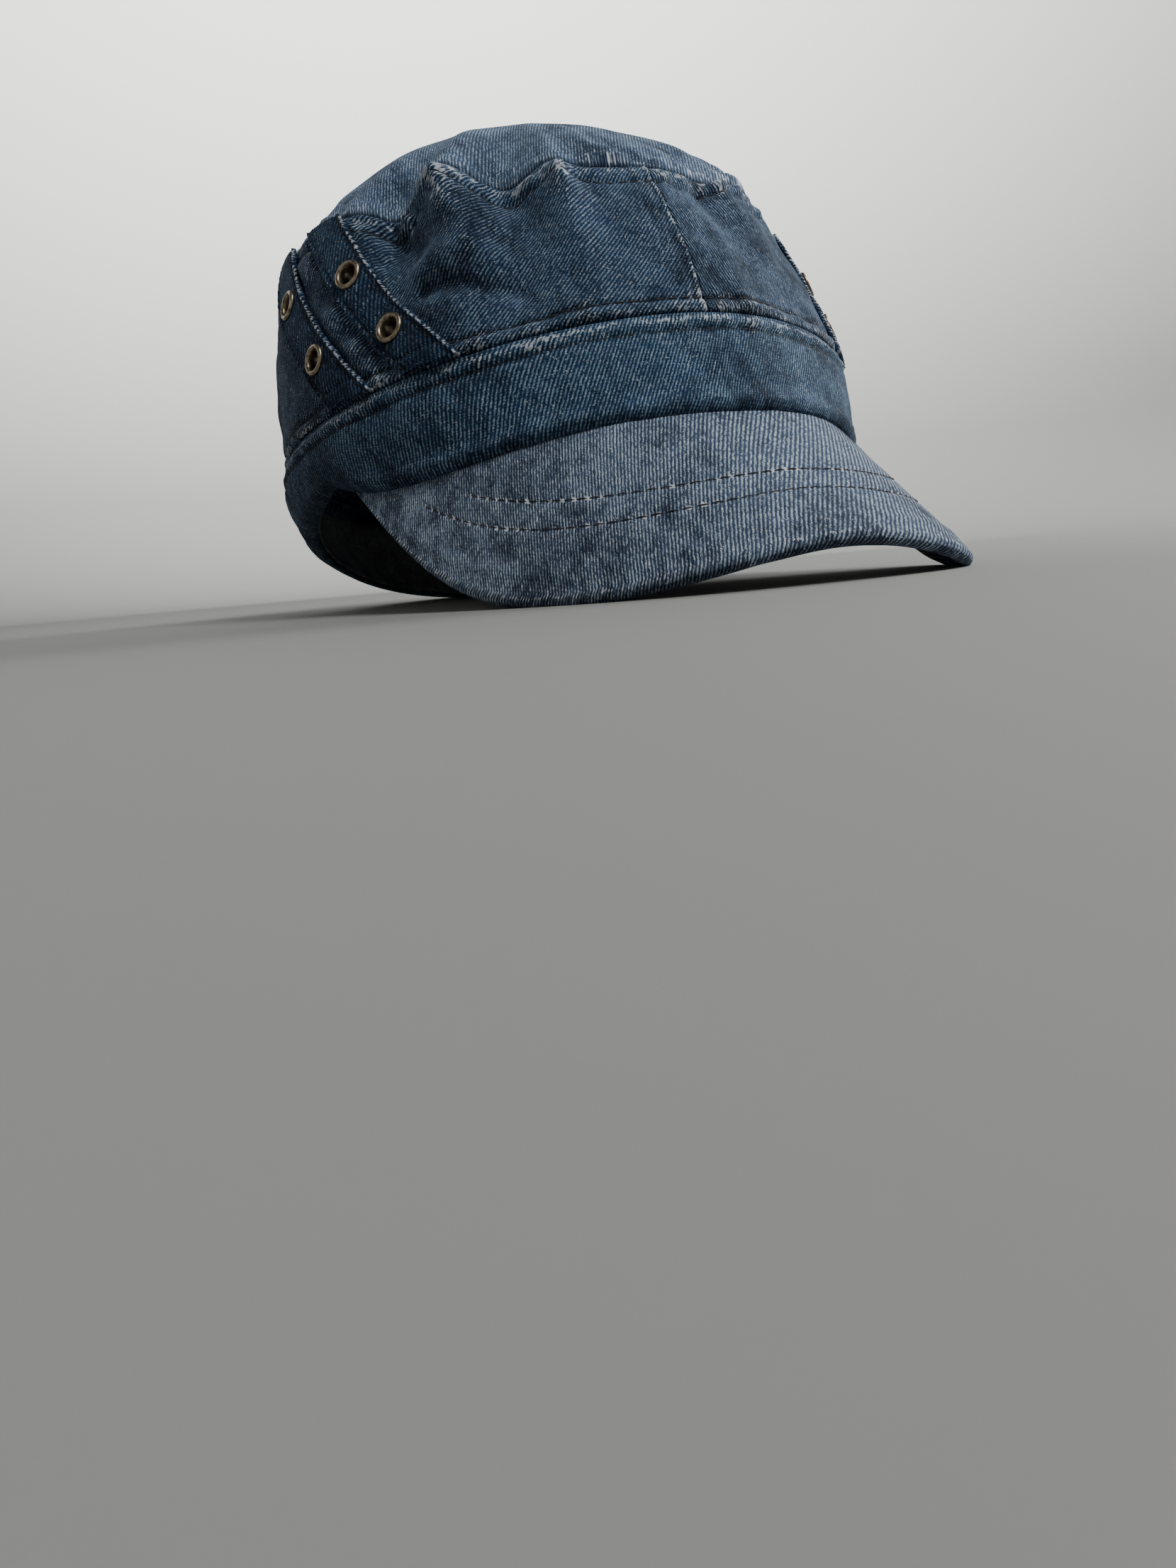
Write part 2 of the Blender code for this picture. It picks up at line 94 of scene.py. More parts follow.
def oval(angle, length, width):
    """An egg-shaped oval. Angles run from the front, positive towards the wearer's left."""
    across = np.sign(np.sin(angle)) * np.abs(np.sin(angle)) ** (2 / OVAL_POWER)
    along = np.sign(np.cos(angle)) * np.abs(np.cos(angle)) ** (2 / OVAL_POWER)
    return width / 2 * across * (1 - EGG * along), -length / 2 * along


def board_height(x, y):
    """The top of the peak's board: arched across, and sloping down to the front."""
    corner_x, corner_y = oval(PEAK_CORNER, HEM_LENGTH, HEM_WIDTH)
    arch = x * x / PEAK_ARCH * (1 + (x / PEAK_FLARE) ** 2)
    corner_arch = corner_x**2 / PEAK_ARCH * (1 + (corner_x / PEAK_FLARE) ** 2)
    return HEM_CORNER + corner_arch - arch + PEAK_SLOPE * (y - corner_y)


def board_normal(x, y):
    across = (board_height(x + 2e-4, y) - board_height(x - 2e-4, y)) / 4e-4
    normal = stack(-across, -PEAK_SLOPE, 1.0)
    return normal / np.linalg.norm(normal, axis=-1, keepdims=True)


def peak_edge(share):
    """The peak's outline from one corner at -1 to the other at 1."""
    corner_x, corner_y = oval(PEAK_CORNER, HEM_LENGTH - CORNER_THICK, HEM_WIDTH - CORNER_THICK)
    turn = share * pi / 2
    side = np.abs(np.sin(turn)) ** (2 / PEAK_SQUARENESS)
    front = np.maximum(0, np.cos(turn)) ** (2 / PEAK_SQUARENESS)
    x = PEAK_HALF_WIDTH * side * (1 - (1 - corner_x / PEAK_HALF_WIDTH) * (1 - front) ** 4)
    return np.sign(share) * x, corner_y + (-HEM_LENGTH / 2 - PEAK_REACH - corner_y) * front


def sewn(name, columns, rows, lay, wall=0.0, side=0):
    """A piece of cloth: a grid primitive laid out by place, weave, wear and fade_and_shade (its
    fading, with painted shade and highlights), and closed.

    side is -1 or 1 where the eyelets' holes on that side go through the piece.
    """
    bpy.ops.object.select_all(action="DESELECT")
    bpy.ops.mesh.primitive_grid_add(x_subdivisions=columns, y_subdivisions=rows, size=1)
    piece = bpy.context.object
    piece.name = name
    mesh = piece.data
    flat = np.empty(len(mesh.vertices) * 3)
    mesh.vertices.foreach_get("co", flat)
    flat = flat.reshape(-1, 3) + 0.5
    points, weave, wear, fade_and_shade = lay(flat[:, 0], flat[:, 1])
    points = points @ np.array(SET_DOWN.to_3x3()).T + np.array(SET_DOWN.translation)
    points[:, 2] = np.maximum(points[:, 2], 0)
    mesh.vertices.foreach_set("co", points.ravel())
    corners = np.empty(len(mesh.loops), int)
    mesh.loops.foreach_get("vertex_index", corners)
    mesh.uv_layers[0].name = "weave"
    mesh.uv_layers[0].data.foreach_set("uv", weave[corners].ravel())
    for label, values in (("wear", wear), ("fade_and_shade", fade_and_shade)):
        values = np.broadcast_to(values, flat[:, 0].shape)
        mesh.attributes.new(label, "FLOAT", "POINT").data.foreach_set("value", values)
    bpy.ops.object.mode_set(mode="EDIT")
    if side:
        bpy.ops.mesh.select_all(action="DESELECT")
        bpy.ops.object.mode_set(mode="OBJECT")
        inside = np.zeros(len(points), bool)
        for centre in hole_centres(side):
            inside |= np.linalg.norm(points - centre, axis=1) < EYELET_HOLE
        mesh.vertices.foreach_set("select", inside)
        bpy.ops.object.mode_set(mode="EDIT")
        bpy.ops.mesh.delete(type="VERT")
    bpy.ops.mesh.select_all(action="SELECT")
    bpy.ops.mesh.remove_doubles(threshold=0.00001)
    if wall == 0:
        bpy.ops.mesh.fill_holes(sides=0)
    bpy.ops.mesh.normals_make_consistent(inside=False)
    bpy.ops.object.mode_set(mode="OBJECT")
    if wall and sum(f.normal.dot(f.center - Vector((0, 0, 0.03))) for f in mesh.polygons) < 0:
        mesh.flip_normals()
    if wall:
        thick = piece.modifiers.new("wall", "SOLIDIFY")
        thick.thickness = wall
        thick.offset = -1
        thick.material_offset = 1
        bpy.ops.object.modifier_apply(modifier="wall")
    bpy.ops.object.shade_smooth()
    return piece


def denim(
    name, deep, washed, pale, lean, rub=1.0, twill=2.0,
    streaks=0.25, beaded=0.55, pitch=0.88, sparkle=0.9,
):
    """Washed denim: dark warp threads leaning over pale ones, and rubbed pale where it wears.

    deep, washed and pale are its colours, and lean and pitch the slope of its ribs and their
    spacing in millimetres. rub is how far wear shows. The others are how strong each effect is.
    """
    material = bpy.data.materials.new(name)
    material.use_nodes = True
    nodes, links = material.node_tree.nodes, material.node_tree.links
    shader = nodes["Principled BSDF"]

    def sum_of(operation, one, two, clamp=False):
        step = nodes.new("ShaderNodeMath")
        step.operation = operation
        step.use_clamp = clamp
        for socket, value in zip(step.inputs, (one, two)):
            if isinstance(value, (int, float)):
                socket.default_value = value
            else:
                links.new(value, socket)
        return step.outputs[0]

    def mixed(amount, one, two):
        step = nodes.new("ShaderNodeMix")
        step.data_type = "RGBA"
        links.new(amount, step.inputs[0])
        for socket, value in zip((step.inputs[6], step.inputs[7]), (one, two)):
            if isinstance(value, tuple):
                socket.default_value = (*value, 1)
            else:
                links.new(value, socket)
        return step.outputs[2]

    def threads(turn, scale_x, scale_y):
        step = nodes.new("ShaderNodeMapping")
        step.inputs["Rotation"].default_value = (0, 0, turn)
        links.new(scaled.outputs[0], step.inputs["Vector"])
        second = nodes.new("ShaderNodeMapping")
        second.inputs["Scale"].default_value = (scale_x, scale_y, 1)
        links.new(step.outputs[0], second.inputs["Vector"])
        return second.outputs[0]

    def noise(vector, scale, detail=2.0):
        step = nodes.new("ShaderNodeTexNoise")
        step.inputs["Scale"].default_value = scale
        step.inputs["Detail"].default_value = detail
        links.new(vector, step.inputs["Vector"])
        return step.outputs["Fac"]

    def ramp(value, low, high):
        step = nodes.new("ShaderNodeMapRange")
        step.inputs["From Min"].default_value = low
        step.inputs["From Max"].default_value = high
        links.new(value, step.inputs["Value"])
        return step.outputs[0]

    weave = nodes.new("ShaderNodeUVMap")
    weave.uv_map = "weave"
    scaled = nodes.new("ShaderNodeMapping")
    scaled.inputs["Scale"].default_value = (1000, 1000, 1000)
    links.new(weave.outputs[0], scaled.inputs["Vector"])
    wear = nodes.new("ShaderNodeAttribute")
    wear.attribute_name = "wear"
    # fade_and_shade: the cloth's fading, together with the painted shade and painted highlights
    # each piece lays into it
    fade_and_shade_node = nodes.new("ShaderNodeAttribute")
    fade_and_shade_node.attribute_name = "fade_and_shade"

    def ribs(vector, pitch, wander):
        step = nodes.new("ShaderNodeTexWave")
        step.inputs["Scale"].default_value = 0.31416 / pitch
        step.inputs["Distortion"].default_value = wander
        step.inputs["Detail"].default_value = 2.0
        step.inputs["Detail Scale"].default_value = 2.2
        links.new(vector, step.inputs["Vector"])
        return step.outputs["Fac"]

    def share_of(value, least):
        return sum_of("ADD", sum_of("MULTIPLY", value, 1 - least), least)

    lines = ribs(threads(lean, 1, 1), pitch, 1.5)
    beads = ribs(threads(lean + radians(62), 1, 1), 0.78, 3.0)
    warp = ramp(noise(threads(0, 1.9, 0.16), 1.0), 0.3, 0.7)
    dashes = ramp(noise(threads(lean, 1.5, 0.75), 1.0), 0.38, 0.62)
    fine = ramp(noise(threads(0, 1, 1), 2.6, 2.0), 0.32, 0.68)
    patches = ramp(noise(threads(0, 1, 0.8), 0.17, 2.0), 0.32, 0.68)
    blotch = ramp(noise(threads(0, 1, 0.6), 0.045, 4.0), 0.28, 0.72)
    mottle = ramp(noise(threads(0, 1, 0.7), 0.20, 3.0), 0.28, 0.72)
    lint = nodes.new("ShaderNodeTexVoronoi")
    lint.inputs["Scale"].default_value = 1.10
    links.new(threads(lean, 1, 0.8), lint.inputs["Vector"])
    tone = nodes.new("ShaderNodeSeparateColor")
    links.new(lint.outputs["Color"], tone.inputs[0])
    flecks = ramp(lint.outputs["Distance"], 0.19, 0.10)
    flecks = sum_of("MULTIPLY", flecks, ramp(tone.outputs[0], 0.22, 0.66))

    cloud = sum_of("ADD", sum_of("MULTIPLY", blotch, 0.60), sum_of("MULTIPLY", mottle, 0.42))
    wash = sum_of("ADD", cloud, sum_of("MULTIPLY", warp, streaks))
    wash = sum_of("MULTIPLY", sum_of("SUBTRACT", wash, 0.47), 2.0)
    wash = sum_of("ADD", sum_of("ADD", wash, 0.24), fade_and_shade_node.outputs["Fac"], True)
    floats = sum_of("MULTIPLY", sum_of("POWER", lines, 2.0), share_of(beads, 1 - beaded))
    floats = sum_of("MULTIPLY", floats, share_of(dashes, 0.15))
    floats = sum_of("MULTIPLY", floats, share_of(fine, 0.3))
    shown = sum_of("MULTIPLY", floats, sum_of("ADD", sum_of("MULTIPLY", wash, 1.9), 0.6))
    shown = sum_of("MULTIPLY", shown, share_of(patches, 0.35))
    body = mixed(wash, deep, washed)
    body = mixed(sum_of("MULTIPLY", shown, twill, True), body, pale)
    bright = tuple(min(1.0, c * 0.55 + 0.40) for c in pale)
    dots = sum_of("MULTIPLY", sum_of("POWER", lines, 1.5), share_of(beads, 0.45))
    strands = sum_of("MULTIPLY", dots, share_of(fine, 0.15))
    grain = noise(threads(lean, 1.25, 0.50), 1.0, 1.0)
    tufts = ramp(grain, 0.46, 0.62)
    sparks = sum_of("MULTIPLY", ramp(grain, 0.56, 0.68), sum_of("MULTIPLY", strands, sparkle))
    spots = sum_of("ADD", sum_of("MULTIPLY", flecks, 0.8), sparks)
    spots = sum_of("MULTIPLY", spots, sum_of("ADD", wash, 0.35))
    body = mixed(sum_of("MULTIPLY", spots, 1.0, True), body, bright)
    loosened = sum_of("ADD", sum_of("MULTIPLY", strands, 0.85), sum_of("MULTIPLY", tufts, 0.45))
    ragged = sum_of("ADD", sum_of("MULTIPLY", wear.outputs["Fac"], 0.92), loosened)
    ragged = ramp(ragged, 0.98, 1.40)
    body = mixed(sum_of("MULTIPLY", ragged, rub, True), body, bright)
    links.new(body, shader.inputs["Base Color"])

    shader.inputs["Roughness"].default_value = 0.88
    shader.inputs["Specular IOR Level"].default_value = 0.12
    shader.inputs["Sheen Weight"].default_value = 0.12
    shader.inputs["Sheen Tint"].default_value = (0.50, 0.70, 1.0, 1)
    shader.inputs["Sheen Roughness"].default_value = 0.45
    rise = sum_of("ADD", sum_of("MULTIPLY", floats, 0.8), sum_of("MULTIPLY", fine, 0.4))
    relief = nodes.new("ShaderNodeBump")
    relief.inputs["Distance"].default_value = WEAVE_RELIEF
    relief.inputs["Strength"].default_value = 0.9
    links.new(rise, relief.inputs["Height"])
    links.new(relief.outputs[0], shader.inputs["Normal"])
    return material


def dark_thread():
    material = bpy.data.materials.new("dark_thread")
    material.use_nodes = True
    nodes, links = material.node_tree.nodes, material.node_tree.links
    shader = nodes["Principled BSDF"]
    place = nodes.new("ShaderNodeTexCoord")
    twist = nodes.new("ShaderNodeTexNoise")
    twist.inputs["Scale"].default_value = 1400
    links.new(place.outputs["Object"], twist.inputs["Vector"])
    strands = nodes.new("ShaderNodeValToRGB")
    strands.color_ramp.elements[0].position = 0.35
    strands.color_ramp.elements[0].color = (0.006, 0.006, 0.009, 1)
    strands.color_ramp.elements[1].position = 0.75
    strands.color_ramp.elements[1].color = (0.028, 0.024, 0.028, 1)
    links.new(twist.outputs["Fac"], strands.inputs["Fac"])
    links.new(strands.outputs[0], shader.inputs["Base Color"])
    shader.inputs["Roughness"].default_value = 0.75
    ply = nodes.new("ShaderNodeBump")
    ply.inputs["Distance"].default_value = 0.00008
    links.new(twist.outputs["Fac"], ply.inputs["Height"])
    links.new(ply.outputs[0], shader.inputs["Normal"])
    return material


STITCH = 0.0033
thread = dark_thread()


def run_of(points):
    return np.concatenate([[0], np.cumsum(np.linalg.norm(np.diff(points, axis=0), axis=1))])


def sew(name, points, normals, thick=0.00028):
    """A row of stitches along a line of points: one stitch, copied end to end."""
    bpy.ops.object.select_all(action="DESELECT")
    bpy.ops.mesh.primitive_uv_sphere_add(segments=6, ring_count=6, radius=0.5)
    row = bpy.context.object
    row.name = name
    one = np.array([v.co[:] for v in row.data.vertices])
    faces = [tuple(f.vertices) for f in row.data.polygons]
    run = run_of(points)
    count = int(run[-1] / STITCH)
    starts = (np.arange(count) + 0.07) * run[-1] / count
    where = (starts[:, None] + (one[:, 2] + 0.5) * run[-1] / count * 0.90).ravel()
    line = np.stack([np.interp(where, run, points[:, k]) for k in range(3)], -1)
    ahead = np.stack([np.interp(where + 0.0004, run, points[:, k]) for k in range(3)], -1)
    behind = np.stack([np.interp(where - 0.0004, run, points[:, k]) for k in range(3)], -1)
    up = np.stack([np.interp(where, run, normals[:, k]) for k in range(3)], -1)
    up /= np.linalg.norm(up, axis=1, keepdims=True)
    side = np.cross(up, ahead - behind)
    side /= np.linalg.norm(side, axis=1, keepdims=True)
    across, high = np.tile(one[:, 0], count), np.tile(one[:, 1], count)
    dip = np.tile(-0.00030 * np.abs(one[:, 2] * 2) ** 3, count) + 0.00002
    spots = line + side * (across * thick)[:, None] + up * (high * thick * 0.8 + dip)[:, None]
    spots = spots @ np.array(SET_DOWN.to_3x3()).T + np.array(SET_DOWN.translation)
    spots[:, 2] = np.maximum(spots[:, 2], 0)
    mesh = bpy.data.meshes.new(name)
    many = [tuple(i + k * len(one) for i in face) for k in range(count) for face in faces]
    mesh.from_pydata(spots.tolist(), [], many)
    row.data = mesh
    bpy.ops.object.mode_set(mode="EDIT")
    bpy.ops.mesh.select_all(action="SELECT")
    bpy.ops.mesh.normals_make_consistent(inside=False)
    bpy.ops.object.mode_set(mode="OBJECT")
    bpy.ops.object.shade_smooth()
    mesh.materials.append(thread)
    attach(row, "root")


PEAK_ROWS = (("inner", 0.0250, -0.66, 0.57), ("outer", 0.0170, -0.78, 0.62))


def peak_row(inset, start, end):
    """Points and normals along a row of stitching at a distance in from the peak's edge."""
    share = np.linspace(start, end, 400)
    inner_x, inner_y = oval(share * PEAK_CORNER, HEM_LENGTH - ROOT_INSET, HEM_WIDTH - ROOT_INSET)
    edge_x, edge_y = peak_edge(share)
    slant = np.hypot(edge_x - inner_x, SLOPING * (edge_y - inner_y))
    out = 1 - inset / slant
    x, y = inner_x + (edge_x - inner_x) * out, inner_y + (edge_y - inner_y) * out
    return share, stack(x, y, board_height(x, y)), board_normal(x, y)


def lay_peak(around, along):
    """Top, rolled edge and underside of the peak in one go round its section."""
    share = around * 2 - 1
    turn = np.clip((along - 0.46) / 0.10, 0, 1)
    out = np.where(along < 0.46, along / 0.46, np.where(along > 0.56, (0.98 - along) / 0.42, 1))
    out = np.maximum(out, 0)
    inner_x, inner_y = oval(share * PEAK_CORNER, HEM_LENGTH - ROOT_INSET, HEM_WIDTH - ROOT_INSET)
    edge_x, edge_y = peak_edge(share)
    thick = CORNER_THICK + (PEAK_THICK - CORNER_THICK) * smooth(3 * (1 - np.abs(share)))
    x, y = inner_x + (edge_x - inner_x) * out, inner_y + (edge_y - inner_y) * out
    normal = board_normal(x, y)
    one_x, one_y = peak_edge(np.maximum(-1, share - 1e-3))
    two_x, two_y = peak_edge(np.minimum(1, share + 1e-3))
    along_edge = stack(
        two_x - one_x, two_y - one_y, board_height(two_x, two_y) - board_height(one_x, one_y)
    )
    outwards = np.cross(along_edge, normal)
    outwards /= np.linalg.norm(outwards, axis=-1, keepdims=True)
    middle = stack(x, y, board_height(x, y)) - normal * (thick / 2)[:, None]
    swing = pi / 2 - pi * np.where(along > 0.98, (1 - along) / 0.02, turn)
    in_plane = (np.cos(swing) * thick / 2 * np.where(along > 0.98, 0, 1))[:, None] * outwards
    points = middle + in_plane + (np.sin(swing) * thick / 2)[:, None] * normal

    slant = np.hypot(edge_x - inner_x, SLOPING * (edge_y - inner_y)) + 1e-6
    from_edge = (1 - out) * slant
    arc = x * (1 + 8.0 * x * x / 0.0101 * 0.02) + np.sign(x) * x * x * 4.2
    top = along < 0.5
    across = share * 0.1
    rows = holes = 0.0
    for _, inset, start, end in PEAK_ROWS:
        shares, places, _ = peak_row(inset, start, end)
        run = np.interp(share, shares, run_of(places))
        phase = run / STITCH * 2 * pi
        along_row = (share > start) & (share < end) & top
        rows = rows + bump(from_edge - inset, 0.0007) * along_row
        off = np.hypot(from_edge - inset, STITCH / 2 / pi * np.arcsin(np.sin(phase / 2)) * 2)
        uneven = 0.8 + 0.6 * crumple(run, run * 0, 0.004, 7)
        holes = holes + bump(off, 0.00085) * along_row * uneven
    bead = bump(from_edge - 0.0050, 0.0020) * (1 - np.clip((np.abs(share) - 0.9) * 10, 0, 1))
    rise = -0.00030 * rows + 0.00034 * bead * top + 0.0004 * bead * ~top
    rise = rise + 0.00012 * crumple(arc, y * SLOPING, 0.006, 3) * (thick / PEAK_THICK)
    points += normal * (rise * np.where(top, 1, -1))[:, None]
    rim = bump(along - 0.468, 0.020)
    frayed = np.clip(0.75 + 0.4 * crumple(across, along, 0.003, 5), 0, 1.3)
    wear = 0.8 * rim * frayed + 1.7 * np.clip(holes, 0, 1)
    # painted highlight: the middle of the peak's top, and a patch towards its wearer's-right end,
    # made paler where the key light falls
    painted_highlight = bump(arc - 0.004, 0.040) * bump(from_edge - 0.028, 0.020)
    painted_highlight = painted_highlight + 0.5 * bump(arc + 0.045, 0.012) * bump(from_edge - 0.030, 0.012)
    # painted light and shade: the peak darker towards the wearer's right end and paler towards the
    # left end, as the light falls across it
    painted_end_light_and_shade = 0.22 * smooth((-0.030 - arc) / 0.030) - 0.10 * smooth((arc - 0.045) / 0.030)
    fade_and_shade = 0.08 + 0.42 * painted_highlight - painted_end_light_and_shade - 0.10 * bump(from_edge - 0.011, 0.005)
    # painted shade: the whole underside set darker
    fade_and_shade = np.where(top, fade_and_shade, UNDERSIDE_PAINTED_SHADE)
    weave = np.stack([arc, -y * SLOPING + turn * pi * thick / 2], -1)
    return points, weave, wear * (along < 0.53), fade_and_shade


peak = sewn("peak_cloth", 440, 170, lay_peak)
peak_denim = denim(
    "peak_denim", (0.005, 0.012, 0.031), (0.040, 0.064, 0.120), (0.43, 0.52, 0.62), radians(-32),
    beaded=0.4, pitch=1.10, sparkle=2.2,
)
peak.data.materials.append(peak_denim)
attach(peak, "root")
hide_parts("peak")
for word, inset, start, end in PEAK_ROWS:
    _, places, normals = peak_row(inset, start, end)
    sew(f"peak_stitches_{word}", places, normals, 0.00036)

# The band
# A doubled strip of denim that goes all the way round, its lower edge rolled over the root of the
# peak. It is sewn to the crown along its top, where the cloth ridges up between the seam and a row
# of dark thread below it.
BAND_SEAM_LENGTH = 0.196
BAND_SEAM_WIDTH = 0.177
BAND_SEAM_FRONT = 0.024
BAND_SEAM_RISE = 0.006
BAND_THICK = 0.0020
BAND_RADIUS = 0.0925
CLOTH_GAP = 0.0003
DOME_SQUARED = 0.038025
STITCH_LIFT = 0.0001
BOLD_THREAD = 0.0005


def hem_height(angle, depth):
    """The band's lower edge at a depth into it. Over the peak it follows the peak's top."""
    turn = np.abs(angle)
    run_end = PEAK_CORNER + radians(4)
    x, y = oval(angle, HEM_LENGTH - 2 * depth, HEM_WIDTH - 2 * depth)
    end = board_height(*oval(run_end, HEM_LENGTH - 2 * depth, HEM_WIDTH - 2 * depth)) + CLOTH_GAP
    outer_end = board_height(*oval(run_end, HEM_LENGTH, HEM_WIDTH)) + CLOTH_GAP
    fading = 1 - smooth((turn - run_end) / radians(9))
    fall = 0.5 + 0.5 * np.cos(pi * (turn - run_end) / (pi - run_end))
    behind = outer_end * fall + (end - outer_end) * fading
    return np.where(turn <= run_end, board_height(x, y) + CLOTH_GAP, behind)


def band_seam(angle):
    x, y = oval(angle, BAND_SEAM_LENGTH, BAND_SEAM_WIDTH)
    return stack(x, y, BAND_SEAM_FRONT + BAND_SEAM_RISE * (1 - np.cos(angle)) / 2)


def band_bulge(angle):
    return 0.0006 + 0.0049 * (1 - np.cos(angle)) / 2


def outward(point):
    """The way that the cap's cloth is thick: square to an even dome inside it."""
    rise = np.maximum(0, point[..., 2] - BAND_SEAM_FRONT)
    way = stack(
        point[..., 0] / BAND_SEAM_WIDTH**2, point[..., 1] / BAND_SEAM_LENGTH**2, rise / DOME_SQUARED
    )
    return way / np.linalg.norm(way, axis=-1, keepdims=True)


def seam_ridges(distance, along, seed, depth=0.0012):
    """What a felled seam does to the cloth beside it: how high it rises, and how it wears."""
    pucker = crumple(along, distance, 0.0042, seed)
    pucker = pucker + 0.5 * crumple(along, distance, 0.0014, seed + 1)
    height = -depth * bump(distance, 0.0007)
    height = height + (0.00062 + 0.00025 * pucker) * bump(distance - 0.0024, 0.0015)
    height = height - 0.00055 * bump(distance - 0.0046, 0.0006)
    height = height + 0.00022 * pucker * bump(distance - 0.0060, 0.0022)
    wear = (0.90 + 0.35 * pucker) * bump(distance - 0.0013, 0.0008)
    wear = wear + (0.52 + 0.40 * pucker) * bump(distance - 0.0030, 0.0013)
    wear = wear + (0.30 + 0.36 * pucker) * bump(distance - 0.0057, 0.0010)
    return height, np.clip(wear, 0, 1)


def band_cloth(angle, up, depth, outer):
    """The band's finished surface at a depth into it, with how it is worn and faded, and painted
    shade along its hem and in its stitch groove.
    """
    x, y = oval(angle, HEM_LENGTH - 2 * depth, HEM_WIDTH - 2 * depth)
    low = stack(x, y, hem_height(angle, depth))
    high = band_seam(angle)
    high = high - outward(high) * depth[:, None]
    point = low + (high - low) * up[:, None]
    tall = np.linalg.norm(high - low, axis=-1)
    from_seam, above = (1 - up) * tall, up * tall
    girth = angle * BAND_RADIUS
    ridge, wear = seam_ridges(from_seam, girth, 11)
    roll = 0.0012 * bump(above - 0.0026, 0.0022)
    soft = 0.0005 * crumple(girth, above * 0.5, 0.014, 12)
    soft = soft + 0.0002 * crumple(girth, above, 0.004, 13)
    relief = ridge + roll + soft * smooth(above / 0.004)
    lift = band_bulge(angle) * 4 * up * (1 - up) + relief * outer * smooth(above / 0.0012)
    point = point + outward(point) * lift[:, None]
    rub = np.clip(crumple(girth, above * 0.4, 0.010, 14), 0, 1)
    upright = 0.55 * bump(girth + 0.004, 0.0014) + 0.45 * bump(girth - 0.030, 0.0016)
    wear = (wear + upright * bump(from_seam - 0.013, 0.009) + 0.12 * rub) * outer
    # painted shade: the band darker along its rolled hem where it meets the peak
    fade_and_shade = 0.02 + 0.16 * bump(girth + 0.02, 0.05) - 0.40 * bump(above, 0.004)
    # painted shadow: a narrow dark line in the stitch groove 4.6 mm below the seam
    fade_and_shade = fade_and_shade + 0.12 * bump(from_seam - 0.0022, 0.0017) - 0.80 * bump(from_seam - 0.0046, 0.0007)
    fade_and_shade = np.where(outer, fade_and_shade + 0.10 * bump(from_seam - 0.0070, 0.0020), 0.1)
    streaks = 0.20 * bump(girth + 0.004, 0.0040) + 0.18 * bump(girth - 0.029, 0.0050)
    fade_and_shade = fade_and_shade + outer * (streaks + 0.15 * bump(girth + 0.032, 0.0060))
    fade_and_shade = fade_and_shade - 0.28 * smooth((np.abs(angle) - 0.9) / 0.6)
    slant = 0.38 * smooth((-angle - 0.35) / 0.6)
    return point, np.stack([girth + slant * above, above], -1), wear, fade_and_shade


def lay_band(around, along):
    """Up the outer face, over the top edge, down the inner face and round the hem."""
    angle = (around * 2 - 1) * pi
    up = np.interp(along, (0, 0.62, 0.66, 0.97, 1), (0, 1, 1, 0, 0))
    depth = np.interp(along, (0, 0.62, 0.66, 0.97, 1), (0, 0, BAND_THICK, BAND_THICK, 0))
    return band_cloth(angle, up, depth, along < 0.62)


band = sewn("band_cloth", 560, 50, lay_band)
band_denim = denim(
    "band_denim", (0.001, 0.005, 0.017), (0.009, 0.030, 0.078), (0.20, 0.31, 0.41), radians(33)
)
band.data.materials.append(band_denim)
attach(band, "root")
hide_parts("band")
angle = np.linspace(-pi, pi, 900)
x, y = oval(angle, HEM_LENGTH, HEM_WIDTH)
up = 1 - 0.0046 / np.linalg.norm(band_seam(angle) - stack(x, y, hem_height(angle, 0)), axis=-1)
line = band_cloth(angle, up, up * 0, up > 0)[0]
sew("band_stitches", line + outward(line) * STITCH_LIFT, outward(line), BOLD_THREAD)

# The sweatband
# A grey cotton tape stitched round the inside of the band. Only its lower edge shows, under the
# back of the hem.
TAPE_OUTER = 0.0023
TAPE_INNER = 0.0035
TAPE_THICK = 0.0012
TAPE_RAISE = 0.0012
TAPE_COVER = 0.85


def lay_sweatband(around, along):
    angle = (around * 2 - 1) * pi
    inside = (along > 0.45) & (along < 0.95)
    level = np.where(along < 0.45, along / 0.45, np.clip((0.95 - along) / 0.45, 0, 1))
    turning = (along >= 0.45) & (along <= 0.5)
    level = np.where(turning, 1.0, level)
    depth = TAPE_OUTER + np.where(inside, TAPE_THICK, 0.0)
    depth = np.where(turning, TAPE_OUTER + TAPE_THICK * (along - 0.45) / 0.05, depth)
    depth = np.where(along >= 0.95, TAPE_INNER - TAPE_THICK * (along - 0.95) / 0.05, depth)
    x, y = oval(angle, HEM_LENGTH - 2 * depth, HEM_WIDTH - 2 * depth)
    low = stack(x, y, hem_height(angle, depth))
    high = band_seam(angle)
    high = high - outward(high) * depth[:, None]
    tall = high[:, 2] - low[:, 2]
    up = (TAPE_RAISE + TAPE_COVER * (tall - TAPE_RAISE) * level) / tall
    point = low + (high - low) * up[:, None]
    lift = band_bulge(angle) * 4 * up * (1 - up) - 0.0001
    point = point + outward(point) * lift[:, None]
    return point, np.stack([angle * 0.09, up * tall], -1), 0.3 * bump(level, 0.05), 0.15


sweatband = sewn("sweatband_tape", 280, 22, lay_sweatband)
grey_tape = denim(
    "grey_tape", (0.09, 0.09, 0.10), (0.17, 0.17, 0.18), (0.34, 0.34, 0.35), 0.0,
    rub=0.4, twill=0.8, streaks=0.1,
)
sweatband.data.materials.append(grey_tape)
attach(sweatband, "root")
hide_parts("sweatband")

